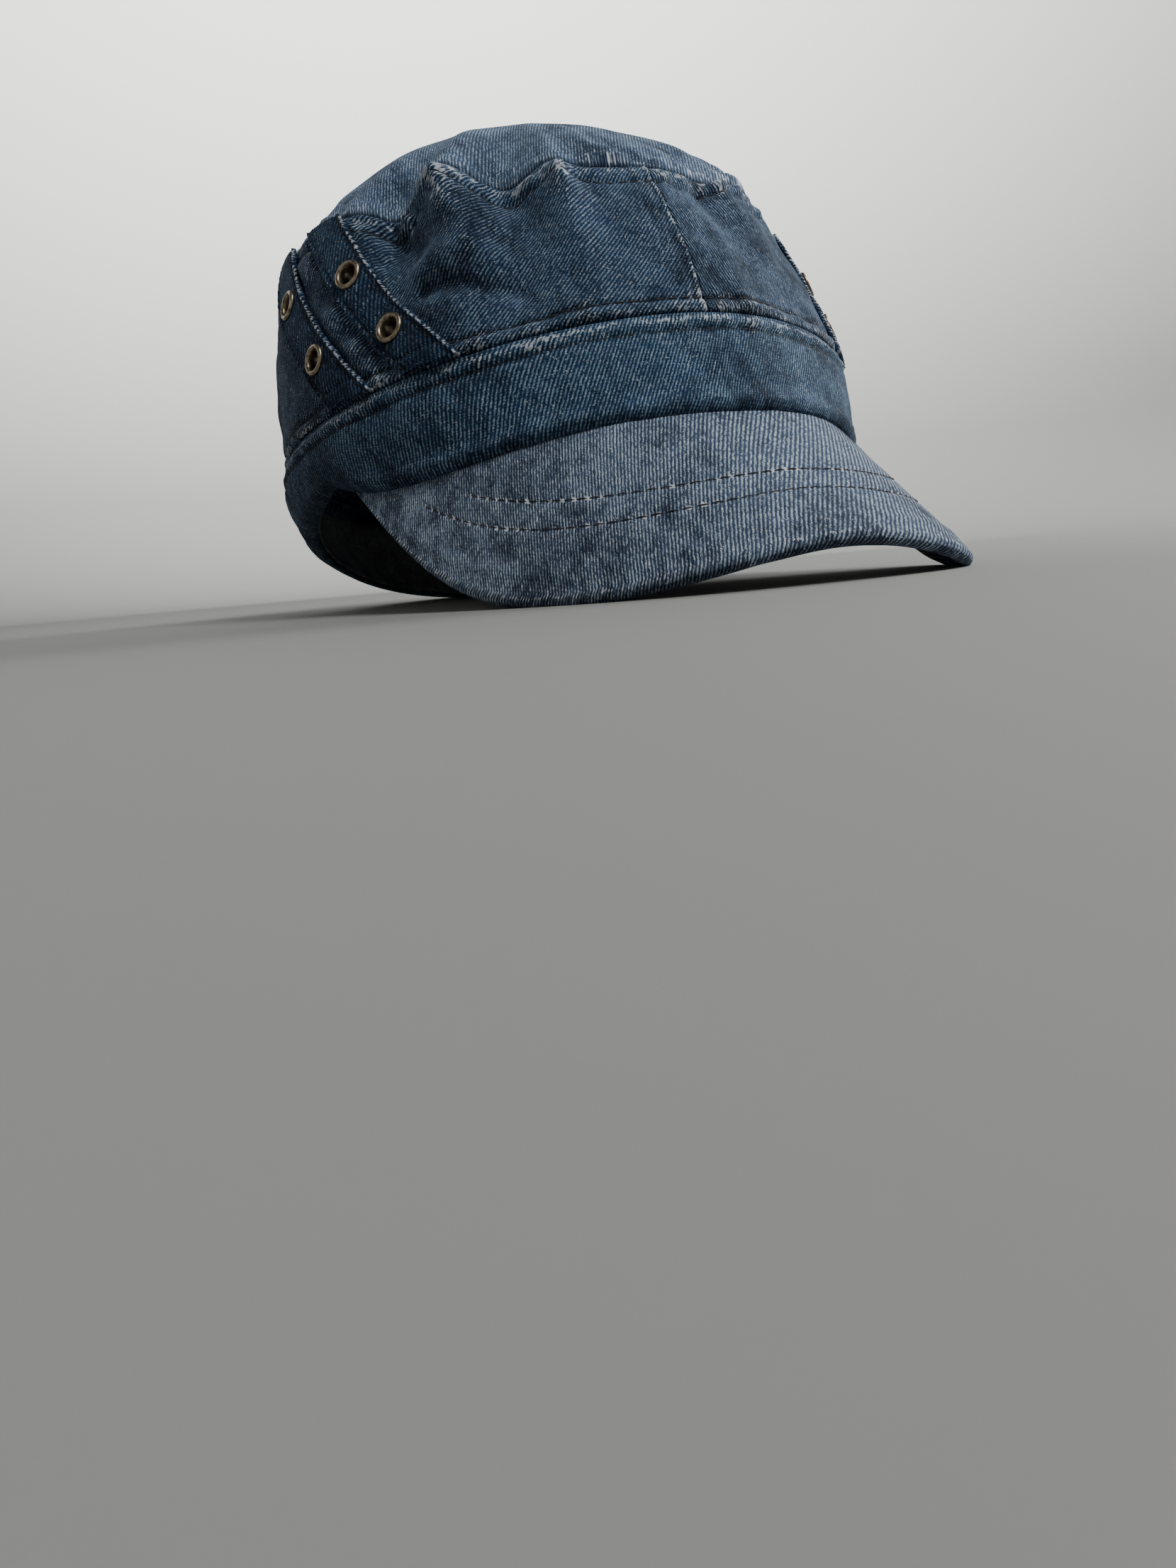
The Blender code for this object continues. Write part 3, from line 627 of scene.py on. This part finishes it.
# The crown's sides
# Two panels of denim, seamed together at the front and the back, eased in along the band and
# gathered in along the top seam, so that they pucker and fold. Both seams are topstitched.
CROWN_RADIUS = 0.09325
CROWN_TALL = 0.061
CROWN_THICK = 0.0014
TOP_SEAM_LENGTH = 0.160
TOP_SEAM_WIDTH = 0.158
TOP_SEAM_MIDDLE = 0.08075
TOP_SEAM_TILT = 0.0055
TOP_SEAM_SAG = 0.00425
STRAP_ROWS = (
    {"name": "front", "foot": 47.0, "top": 70.0, "lower": 0.28, "upper": 0.61},
    {"name": "rear", "foot": 63.5, "top": 89.5, "lower": 0.28, "upper": 0.65},
)
GATHER_ROWS = (
    {"angle": -148.0, "spread": 9.0, "rise": 0.0018, "push": 0.0018},
    {"angle": -118.0, "spread": 9.0, "rise": 0.0018, "push": 0.0015},
    {"angle": -53.0, "spread": 5.5, "rise": -0.0045, "push": -0.0040},
    {"angle": -40.5, "spread": 4.8, "rise": 0.0040, "push": 0.0030},
    {"angle": -29.5, "spread": 5.0, "rise": -0.0022, "push": -0.0038},
    {"angle": -20.0, "spread": 4.0, "rise": 0.0010, "push": 0.0026},
    {"angle": 16.0, "spread": 6.0, "rise": -0.0009, "push": -0.0018},
    {"angle": 28.0, "spread": 6.0, "rise": -0.0003, "push": 0.0003},
    {"angle": 48.0, "spread": 11.0, "rise": -0.0033, "push": -0.0051},
    {"angle": 112.0, "spread": 9.0, "rise": 0.0021, "push": 0.0018},
    {"angle": 142.0, "spread": 8.0, "rise": 0.0024, "push": 0.0021},
)
FOLD_ROWS = (
    {"a0": -42.0, "h0": 1.0, "a1": -37.0, "h1": 0.55, "spread": 0.0045, "depth": 0.0022},
    {"a0": -52.0, "h0": 0.98, "a1": -47.0, "h1": 0.66, "spread": 0.0050, "depth": -0.0030},
    {"a0": -46.5, "h0": 0.40, "a1": -31.0, "h1": 0.27, "spread": 0.0032, "depth": -0.0022},
    {"a0": -46.0, "h0": 0.54, "a1": -31.0, "h1": 0.46, "spread": 0.0045, "depth": 0.0016},
    {"a0": -20.0, "h0": 1.0, "a1": -20.0, "h1": 0.32, "spread": 0.0040, "depth": 0.0018},
    {"a0": -29.0, "h0": 1.0, "a1": -27.0, "h1": 0.62, "spread": 0.0050, "depth": -0.0018},
    {"a0": -13.0, "h0": 0.95, "a1": -13.0, "h1": 0.45, "spread": 0.0035, "depth": -0.0009},
    {"a0": -124.0, "h0": 1.0, "a1": -116.0, "h1": 0.25, "spread": 0.0088, "depth": 0.0018},
    {"a0": 12.0, "h0": 1.0, "a1": 15.0, "h1": 0.30, "spread": 0.0070, "depth": -0.0014},
    {"a0": 30.0, "h0": 1.0, "a1": 28.0, "h1": 0.45, "spread": 0.0076, "depth": -0.0020},
    {"a0": 130.0, "h0": 1.0, "a1": 120.0, "h1": 0.20, "spread": 0.0088, "depth": 0.0018},
)


def top_seam(angle, gather=1.0):
    x, y = oval(angle, TOP_SEAM_LENGTH, TOP_SEAM_WIDTH)
    height = TOP_SEAM_MIDDLE - TOP_SEAM_TILT * np.cos(angle) - TOP_SEAM_SAG * np.cos(2 * angle)
    rise = push = 0.0
    for row in GATHER_ROWS:
        away = (np.degrees(angle) - row["angle"] + 180) % 360 - 180
        rise = rise + gather * row["rise"] * bump(away, row["spread"])
        push = push + gather * row["push"] * bump(away, row["spread"])
    far = np.hypot(x, y)
    return stack(x * (1 + push / far), y * (1 + push / far), height + rise)


def fold_depth(angle, share):
    total = 0.0
    for row in FOLD_ROWS:
        x0, z0 = radians(row["a0"]) * CROWN_RADIUS, row["h0"] * CROWN_TALL
        dx, dz = radians(row["a1"]) * CROWN_RADIUS - x0, row["h1"] * CROWN_TALL - z0
        px, pz = angle * CROWN_RADIUS - x0, share * CROWN_TALL - z0
        run = np.clip((px * dx + pz * dz) / (dx * dx + dz * dz), 0, 1)
        away = np.hypot(px - run * dx, pz - run * dz)
        total = total + row["depth"] * (1 - 0.45 * run) * bump(away, row["spread"])
    return total


def beside_straps(angle, share):
    """How far a place on the crown's side is from the nearest strap's centre line."""
    away = 1.0
    for row in STRAP_ROWS:
        centre = np.radians(row["foot"] + (row["top"] - row["foot"]) * share)
        away = np.minimum(away, np.abs(np.abs(angle) - centre) * 0.078)
    return away


def crown_side(angle, share):
    low, high = band_seam(angle), top_seam(angle)
    point = low + (high - low) * share[..., None]
    bulge = 0.0016 + 0.0029 * (1 - np.cos(angle)) / 2
    hold = 1 - smooth((beside_straps(angle, share) - 0.0065) / 0.005)
    loose = fold_depth(angle, share) * (1 - hold)
    loose = loose * smooth(share / 0.12) * smooth((1 - share) / 0.12)
    lift = bulge * 4 * share * (1 - share) + loose
    return point + outward(point) * lift[..., None]


STRAP_WIDTH = 0.0145


def strap_place(row, side, across, along):
    """The angle of a place on a strap: across from -0.5 to 0.5, along from its foot to its top."""
    angle = np.radians(row["foot"] + (row["top"] - row["foot"]) * along)
    step = 0.001
    here = crown_side(angle, along)
    reach = np.linalg.norm(crown_side(angle + step, along) - here, axis=-1) / step
    rise = np.linalg.norm(crown_side(angle, np.minimum(1, along + step)) - here, axis=-1)
    slant = np.arctan2(rise, radians(row["top"] - row["foot"]) * step * reach)
    return side * (angle + across * STRAP_WIDTH / np.sin(slant) / reach)


def hole_centres(side):
    """Where the eyelets' holes on a side go through the crown, in the cap's resting place."""
    for row in STRAP_ROWS:
        for level in ("lower", "upper"):
            share = np.array([row[level]])
            here = crown_side(strap_place(row, side, 0.0, share), share)[0]
            yield np.array(SET_DOWN @ Vector(here))


def side_cloth(angle, share):
    """The finished face of the crown's side, with how it is worn and faded, and painted shade in
    its folds, in its stitch grooves and beside the straps.
    """
    point = crown_side(angle, share)
    tall = np.linalg.norm(top_seam(angle) - band_seam(angle), axis=-1)
    girth, up = angle * 0.089, share * tall
    from_strap = beside_straps(angle, share)
    low_ridge, low_wear = seam_ridges(up, girth, 21)
    high_ridge, high_wear = seam_ridges((tall - up) * 0.8, girth, 22, 0.0005)
    right = angle < 0
    front, back = np.abs(angle) * 0.088, (pi - np.abs(angle)) * 0.088
    seam = -0.0004 * bump(front, 0.0004) - 0.0006 * bump(back, 0.0006)
    seam = seam + 0.0005 * right * bump(front - 0.0010, 0.0012)
    seam = seam + 0.0004 * bump(back - 0.0018, 0.0013)
    seam = seam + 0.0003 * bump(front - 0.0055, 0.0014) * right
    soft = 0.0009 * crumple(girth, up, 0.017, 23) + 0.00038 * crumple(girth, up, 0.0065, 24)
    bunched = bump(np.degrees(angle) + 52, 13) + 0.5 * bump(np.abs(np.degrees(angle)) - 98, 9)
    gathered = crumple(girth, up * 0.3, 0.0050, 25) * smooth((share - 0.62) / 0.3)
    folded = crumple(girth + share * 0.01, up * 0.6, 0.0036, 27) * smooth((share - 0.55) / 0.3)
    eased = crumple(girth, up * 0.25, 0.0055, 28) * bump(share - 0.10, 0.10)
    strapped = bump(np.abs(np.degrees(angle)) - 56 - 24 * share, 7)
    pinched = crumple(girth * 0.4 - up * 0.5, up, 0.0065, 29) * strapped
    loose = 0.0011 * gathered + 0.0020 * bunched * folded + 0.0005 * eased + 0.0012 * pinched
    loose = loose + 0.0006 * strapped * (1 - (2 * share - 1) ** 4)
    free = smooth((from_strap - 0.0074) / 0.0026) * (1 - bump(share - 1, 0.03))
    free = free * smooth(share / 0.05)
    lift = low_ridge + high_ridge + seam + (soft + loose) * free
    point = point + outward(point) * lift[:, None]

    speck = crumple(girth, up, 0.0016, 26)
    dotted = 0.5 + 0.5 * np.sin(up / 0.0013 * 2 * pi)
    creases = np.clip(fold_depth(angle, share) / 0.002, 0, 1)
    wear = 0.85 * low_wear + high_wear * (0.72 + 0.5 * speck)
    wear += (0.75 + 0.5 * dotted + 0.3 * speck) * right * bump(front - 0.0012, 0.0009)
    wear += (0.25 + 0.4 * speck) * bump(front - 0.0050, 0.0010)
    wear += (0.55 + 0.4 * speck) * creases * smooth((share - 0.35) / 0.3)
    wear += 0.18 * np.clip(speck, 0, 1) * smooth((share - 0.78) / 0.2)
    wear += 0.7 * np.clip(loose / 0.0008, 0, 1) ** 2 * (0.6 + 0.5 * speck) * free
    fade_and_shade = 0.02 + 0.12 * smooth((share - 0.6) / 0.4) - 0.20 * bump(share, 0.05)
    # painted shade: darker in the inward hollows of the folds
    fade_and_shade = fade_and_shade - 0.30 * np.clip(-fold_depth(angle, share) / 0.002, 0, 1)
    fade_and_shade = fade_and_shade + 0.12 * bump(up - 0.0024, 0.0018) + 0.08 * bump(up - 0.0072, 0.0022)
    # painted shadow: narrow dark lines in the grooves of the stitch rows by the band and by the top
    # seam
    fade_and_shade = fade_and_shade - 0.80 * bump(up - 0.0046, 0.0007) - 0.55 * bump(tall - up - 0.0058, 0.0006)
    fade_and_shade = fade_and_shade + 0.20 * bump(tall - up, 0.008)
    fade_and_shade = fade_and_shade + 0.12 * bump(girth + 0.028, 0.020) * smooth((share - 0.3) / 0.3)
    streaks = 0.22 * bump(girth + 0.010, 0.0030) + 0.18 * bump(girth + 0.0185, 0.0022)
    streaks = streaks + 0.20 * bump(girth + 0.034, 0.0040) + 0.20 * bump(girth - 0.016, 0.0050)
    streaks = streaks * (0.7 + 0.5 * crumple(girth, up, 0.009, 20))
    fade_and_shade = fade_and_shade + streaks * smooth((share - 0.15) / 0.3)
    # painted shadow: a darker strip beside each strap's edges
    fade_and_shade = fade_and_shade - 0.16 * bump(from_strap - 0.0080, 0.0018)
    fade_and_shade = fade_and_shade - 0.16 * smooth((np.abs(angle) - 0.9) / 0.5)
    slant = 0.20 * smooth((-angle - 0.8) / 0.4)
    return point, np.stack([girth + slant * up, up], -1), np.clip(wear, 0, 1.2), fade_and_shade


def lay_crown_side(side):
    def lay(around, along):
        return side_cloth(side * pi * (0.0005 + around * 0.999), 0.0064 + along * 0.9926)

    return lay


crown_deep = (0.001, 0.004, 0.014)
crown_washed = (0.008, 0.024, 0.066)
crown_pale = (0.19, 0.28, 0.38)
inner_denim = denim(
    "denim_wrong_side", (0.06, 0.08, 0.11), (0.16, 0.19, 0.24), (0.36, 0.39, 0.43), radians(-33)
)
for word, side, lean in (("right", -1, radians(44)), ("left", 1, radians(-16))):
    panel = sewn("crown_side_cloth_" + word, 400, 84, lay_crown_side(side), CROWN_THICK, side)
    panel.data.materials.append(
        denim("crown_denim_" + word, crown_deep, crown_washed, crown_pale, lean)
    )
    panel.data.materials.append(inner_denim)
    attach(panel, "root")
    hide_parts("crown_side_" + word)
    angle = side * np.linspace(0.004, pi - 0.004, 700)
    tall = np.linalg.norm(top_seam(angle) - band_seam(angle), axis=-1)
    for level, share in (("lower", 0.0047 / tall), ("upper", 1 - 0.0058 / tall)):
        line = side_cloth(angle, share)[0]
        name = f"crown_stitches_{word}_{level}"
        sew(name, line + outward(line) * STITCH_LIFT, outward(line), BOLD_THREAD)

# The crown's top
# One oval panel of denim, the most washed out of all. It rises in a shallow dome, and is drawn
# into small folds where it is sewn to the sides.
TOP_LEVEL = 0.085
DOME_RISE = 0.0365
DOME_SQUARENESS = 2.5


def disc(across, along):
    """Turns a square's shares into an angle and a ring, with no pole at the middle."""
    x, y = across * 2 - 1, along * 2 - 1
    wide = np.abs(x) > np.abs(y)
    ring = np.where(wide, np.abs(x), np.abs(y))
    part = np.where(wide, y, x) / np.where(ring == 0, 1, ring) * pi / 4
    u = np.where(wide, np.sign(x) * np.cos(part), np.sin(part)) * ring
    v = np.where(wide, np.sin(part), np.sign(y) * np.cos(part)) * ring
    return np.arctan2(u, -v), ring


def lay_crown_top(across, along):
    angle, ring = disc(across, along)
    edge = top_seam(angle, smooth((ring - 0.45) / 0.55))
    ring = ring * 0.9992
    point = edge * ring[:, None]
    dome = DOME_RISE * (1 - ring**DOME_SQUARENESS)
    point[:, 2] = TOP_LEVEL + (edge[:, 2] - TOP_LEVEL) * ring + dome
    girth, inward = angle * 0.079, (1 - ring) * 0.085
    ridge, wear = seam_ridges(inward, girth, 31, 0.0003)
    close = smooth((ring - 0.55) / 0.4)
    folds = 0.0014 * crumple(girth, inward * 0.35, 0.0085, 32) * close
    folds += 0.0008 * crumple(girth, inward * 0.6, 0.0038, 33) * smooth((ring - 0.72) / 0.2)
    soft = 0.0007 * crumple(point[:, 0], point[:, 1], 0.024, 34) * (1 - ring**8)
    lift = ridge + folds * (1 - bump(inward, 0.002)) + soft
    point = point + outward(point) * lift[:, None]
    speck = crumple(point[:, 0], point[:, 1], 0.0016, 35)
    wear = wear * (0.62 + 0.5 * speck) + 0.35 * np.clip(folds / 0.001, 0, 1) * (0.5 + 0.5 * speck)
    # painted shade: darker in the hollows of the folds near the seam; the panel is also darker
    # towards its edge
    fade_and_shade = 0.20 - 0.16 * close - 0.25 * np.clip(-folds / 0.001, 0, 1)
    return point, np.stack([point[:, 0] * 1.1, point[:, 1] * 1.1], -1), np.clip(wear, 0, 1.2), fade_and_shade


crown_top = sewn("crown_top_cloth", 190, 190, lay_crown_top, CROWN_THICK)
top_denim = denim(
    "crown_top_denim", (0.008, 0.019, 0.044), (0.052, 0.092, 0.164), (0.37, 0.47, 0.59), radians(30)
)
crown_top.data.materials.append(top_denim)
crown_top.data.materials.append(inner_denim)
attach(crown_top, "root")
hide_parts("crown_top")

# The straps
# Two slanting straps of folded denim on each side, caught in the seam at both ends and sewn close
# along their edges, which have worn nearly white.
STRAP_THICK = 0.0010
STRAP_FACE = 0.0019
STRAP_THREAD = 0.00024


def lay_strap(row, side):
    def lay(across, along):
        across = across - 0.5
        share = 0.0128 + along * 0.9744
        angle = strap_place(row, side, across, share)
        point = crown_side(angle, share)
        from_edge = (0.5 - np.abs(across)) * STRAP_WIDTH
        run = share * 0.062
        edge_wave = 0.00006 * np.sin(run / STITCH * 2 * pi)
        edge_wave = edge_wave + 0.00018 * crumple(run, across, 0.004, 40)
        groove = -0.00026 * bump(from_edge - 0.0019, 0.0005)
        groove = groove + 0.00016 * bump(from_edge - 0.0009, 0.0005)
        turned = -0.00095 * (1 - np.clip(from_edge / 0.0008, 0, 1)) ** 2
        foot = -0.0003 * bump(share * 0.051 - 0.0050, 0.0006)
        belly = 0.0003 * crumple(run, across * 0.02, 0.008, 43)
        lift = STRAP_FACE + groove + turned + foot + belly
        lift = lift + edge_wave * smooth((across + 0.1) / 0.5)
        point = point + outward(point) * lift[:, None]
        speck = crumple(run, across * 0.01, 0.0012, 41)
        rope = 0.55 + 0.45 * np.sin((run + across * 0.004) / 0.00115 * 2 * pi)
        edge = bump(from_edge - 0.0006, 0.00042) * (0.15 + 0.85 * rope + 0.3 * speck)
        wear = edge * np.where(across < 0, 1.6, 0.8)
        wear = wear + 0.30 * np.clip(speck, 0, 1) * bump(share, 0.12)
        # painted shade: darker in the stitch groove 1.9 mm in from each edge
        fade_and_shade = 0.02 - 0.25 * bump(from_edge - 0.0019, 0.0006) + np.zeros_like(run)
        return point, np.stack([across * STRAP_WIDTH, run], -1), np.clip(wear, 0, 1.2), fade_and_shade

    return lay


# strap colours: partly the straps' own darker cloth, partly painted shade, set well darker than the
# crown's to match the straps' shaded side
strap_denim_with_painted_shade = denim(
    "strap_denim_with_painted_shade", (0.0005, 0.003, 0.012), (0.003, 0.013, 0.038), (0.06, 0.12, 0.20), radians(-30),
    rub=1.5,
)
for word, side in (("right", -1), ("left", 1)):
    for row in STRAP_ROWS:
        name = f"strap_cloth_{word}_{row['name']}"
        strap = sewn(name, 40, 110, lay_strap(row, side), STRAP_THICK, side)
        strap.data.materials.append(strap_denim_with_painted_shade)
        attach(strap, "root")
        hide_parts(f"strap_{word}_{row['name']}")
        share = np.linspace(0.02, 0.98, 300)
        for edge, across in (("fore", -0.37), ("aft", 0.37)):
            line = crown_side(strap_place(row, side, across, share), share)
            name = f"strap_stitches_{word}_{row['name']}_{edge}"
            sew(name, line + outward(line) * 0.0018, outward(line), STRAP_THREAD)

# The eyelets
# Rolled brass rings with a tube through the strap and the crown, gone brown where nothing rubs.
BORE = 0.0028
FLANGE = 0.0042
EYELET_PROFILE = (
    (BORE, -0.0040),
    (BORE, 0.0001),
    (BORE + 0.0002, 0.0005),
    (BORE + 0.0006, 0.0007),
    (FLANGE - 0.0006, 0.0007),
    (FLANGE - 0.0002, 0.0005),
    (FLANGE, 0.0001),
    (FLANGE - 0.0001, -0.0002),
    (BORE + 0.0004, -0.0002),
    (BORE + 0.0004, -0.0036),
    (0.0040, -0.0036),
    (0.0040, -0.0040),
)


def old_brass():
    material = bpy.data.materials.new("old_brass")
    material.use_nodes = True
    nodes, links = material.node_tree.nodes, material.node_tree.links
    shader = nodes["Principled BSDF"]
    place = nodes.new("ShaderNodeTexCoord")
    grain = nodes.new("ShaderNodeTexNoise")
    grain.inputs["Scale"].default_value = 900
    grain.inputs["Detail"].default_value = 4
    links.new(place.outputs["Object"], grain.inputs["Vector"])
    tarnish = nodes.new("ShaderNodeValToRGB")
    tarnish.color_ramp.elements[0].position = 0.30
    tarnish.color_ramp.elements[0].color = (0.13, 0.098, 0.066, 1)
    tarnish.color_ramp.elements[1].position = 0.68
    tarnish.color_ramp.elements[1].color = (0.52, 0.43, 0.31, 1)
    links.new(grain.outputs["Fac"], tarnish.inputs["Fac"])
    links.new(tarnish.outputs[0], shader.inputs["Base Color"])
    shader.inputs["Metallic"].default_value = 1.0
    dull = nodes.new("ShaderNodeMapRange")
    dull.inputs["To Min"].default_value = 0.50
    dull.inputs["To Max"].default_value = 0.26
    links.new(grain.outputs["Fac"], dull.inputs["Value"])
    links.new(dull.outputs[0], shader.inputs["Roughness"])
    scratch = nodes.new("ShaderNodeBump")
    scratch.inputs["Distance"].default_value = 0.00004
    links.new(grain.outputs["Fac"], scratch.inputs["Height"])
    links.new(scratch.outputs[0], shader.inputs["Normal"])
    return material


brass = old_brass()
for word, side in (("right", -1), ("left", 1)):
    for row in STRAP_ROWS:
        for level in ("lower", "upper"):
            share = np.array([row[level]])
            angle = strap_place(row, side, 0.0, share)
            here = crown_side(angle, share)[0]
            around = crown_side(angle + 0.03, share)[0] - crown_side(angle - 0.03, share)[0]
            up = crown_side(angle, share + 0.03)[0] - crown_side(angle, share - 0.03)[0]
            axis = np.cross(around, up)
            axis /= np.linalg.norm(axis) * np.sign(axis @ outward(here))
            face = Vector(here + axis * 0.0021)
            turn = Vector(axis).to_track_quat("Z", "Y").to_matrix().to_4x4()
            bpy.ops.object.select_all(action="DESELECT")
            bpy.ops.mesh.primitive_circle_add(vertices=len(EYELET_PROFILE), radius=0.001)
            ring = bpy.context.object
            ring.name = f"eyelet_brass_{word}_{row['name']}_{level}"
            for v, (x, z) in zip(ring.data.vertices, EYELET_PROFILE):
                v.co = (x, 0, z)
            bpy.ops.object.mode_set(mode="EDIT")
            bpy.ops.mesh.select_all(action="SELECT")
            bpy.ops.mesh.spin(steps=40, dupli=False, angle=2 * pi, center=(0, 0, 0), axis=(0, 0, 1))
            bpy.ops.mesh.select_all(action="SELECT")
            bpy.ops.mesh.remove_doubles(threshold=0.00002)
            bpy.ops.mesh.normals_make_consistent(inside=False)
            bpy.ops.object.mode_set(mode="OBJECT")
            ring.data.transform(SET_DOWN @ Matrix.Translation(face) @ turn)
            bpy.ops.object.shade_smooth()
            ring.data.materials.append(brass)
            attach(ring, "root")
            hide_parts(f"eyelet_{word}_{row['name']}_{level}")

# The floor, the light and the camera
# A floor that curves up into a backdrop, its colour running from dark on the floor to pale up the
# backdrop as painted light and shade, soft lamps over, beside and before the cap and one on the
# backdrop, and the photograph's viewpoint brought up to just above the floor.
SHEET_RADIUS = 3.6
FLAT_RADIUS = 0.7
SWEEP_RADIUS = 1.5
bpy.ops.object.select_all(action="DESELECT")
bpy.ops.mesh.primitive_grid_add(x_subdivisions=96, y_subdivisions=96, size=1)
floor = bpy.context.object
floor.name = "floor"
for v in floor.data.vertices:
    angle, ring = disc(np.array([v.co.x + 0.5]), np.array([v.co.y + 0.5]))
    run = ring[0] * SHEET_RADIUS
    turn = min(max(run - FLAT_RADIUS, 0) / SWEEP_RADIUS, pi / 2)
    reach = min(run, FLAT_RADIUS) + SWEEP_RADIUS * sin(turn)
    beyond = max(0, run - FLAT_RADIUS - SWEEP_RADIUS / 2 * pi)
    height = SWEEP_RADIUS * (1 - cos(turn)) + beyond
    v.co = (reach * sin(angle[0]), -reach * cos(angle[0]), height)
bpy.ops.object.shade_smooth()
paper = bpy.data.materials.new("paper_with_painted_light")
paper.use_nodes = True
nodes, links = paper.node_tree.nodes, paper.node_tree.links
place = nodes.new("ShaderNodeTexCoord")
level = nodes.new("ShaderNodeSeparateXYZ")
links.new(place.outputs["Object"], level.inputs[0])
# painted light and shade: the paper's colour rises from dark on the floor to pale up the backdrop
painted_light_ramp = nodes.new("ShaderNodeValToRGB")
painted_light_ramp.color_ramp.elements[0].color = (0.225, 0.226, 0.216, 1)
painted_light_ramp.color_ramp.elements[1].color = (0.70, 0.70, 0.68, 1)
painted_light_ramp.color_ramp.elements.new(0.12).color = (0.222, 0.223, 0.213, 1)
reach = nodes.new("ShaderNodeMapRange")
reach.inputs["From Max"].default_value = 1.2
links.new(level.outputs["Z"], reach.inputs["Value"])
links.new(reach.outputs[0], painted_light_ramp.inputs["Fac"])
links.new(painted_light_ramp.outputs[0], nodes["Principled BSDF"].inputs["Base Color"])
nodes["Principled BSDF"].inputs["Roughness"].default_value = 0.9
floor.data.materials.append(paper)

for word, place, target, size, power in (
    ("key", (0.34, -0.72, 1.20), (0, 0, 0.07), 0.6, 14.2),
    ("side", (1.10, 0.10, 0.60), (0, 0, 0.07), 0.5, 11),
    ("fill", (-1.2, -0.5, 0.5), (0, 0, 0.07), 1.0, 0.6),
    ("wall", (0.2, 0.8, 1.3), (0.65, 2.1, 1.0), 1.2, 78),
):
    bpy.ops.object.light_add(type="AREA", location=place)
    lamp = bpy.context.object
    lamp.name = word + "_light"
    lamp.data.size = size
    lamp.data.energy = power
    aim = Vector(target) - Vector(place)
    lamp.rotation_euler = aim.to_track_quat("-Z", "Y").to_euler()

world = bpy.data.worlds.new("studio")
world.use_nodes = True
world.node_tree.nodes["Background"].inputs["Color"].default_value = (0.80, 0.82, 0.85, 1)
world.node_tree.nodes["Background"].inputs["Strength"].default_value = 0.06
bpy.context.scene.world = world

bpy.ops.object.camera_add(location=(-0.1459, -0.3178, 0.008))
camera = bpy.context.object
view = Vector((0.3772, 0.9020, -0.1950)).to_track_quat("-Z", "Y").to_matrix()
camera.rotation_euler = (view @ Matrix.Rotation(radians(-5.0), 3, "Z")).to_euler()
camera.data.sensor_fit = "VERTICAL"
camera.data.sensor_height = 36
camera.data.lens = 25.06
camera.data.clip_start = 0.001
bpy.context.scene.camera = camera
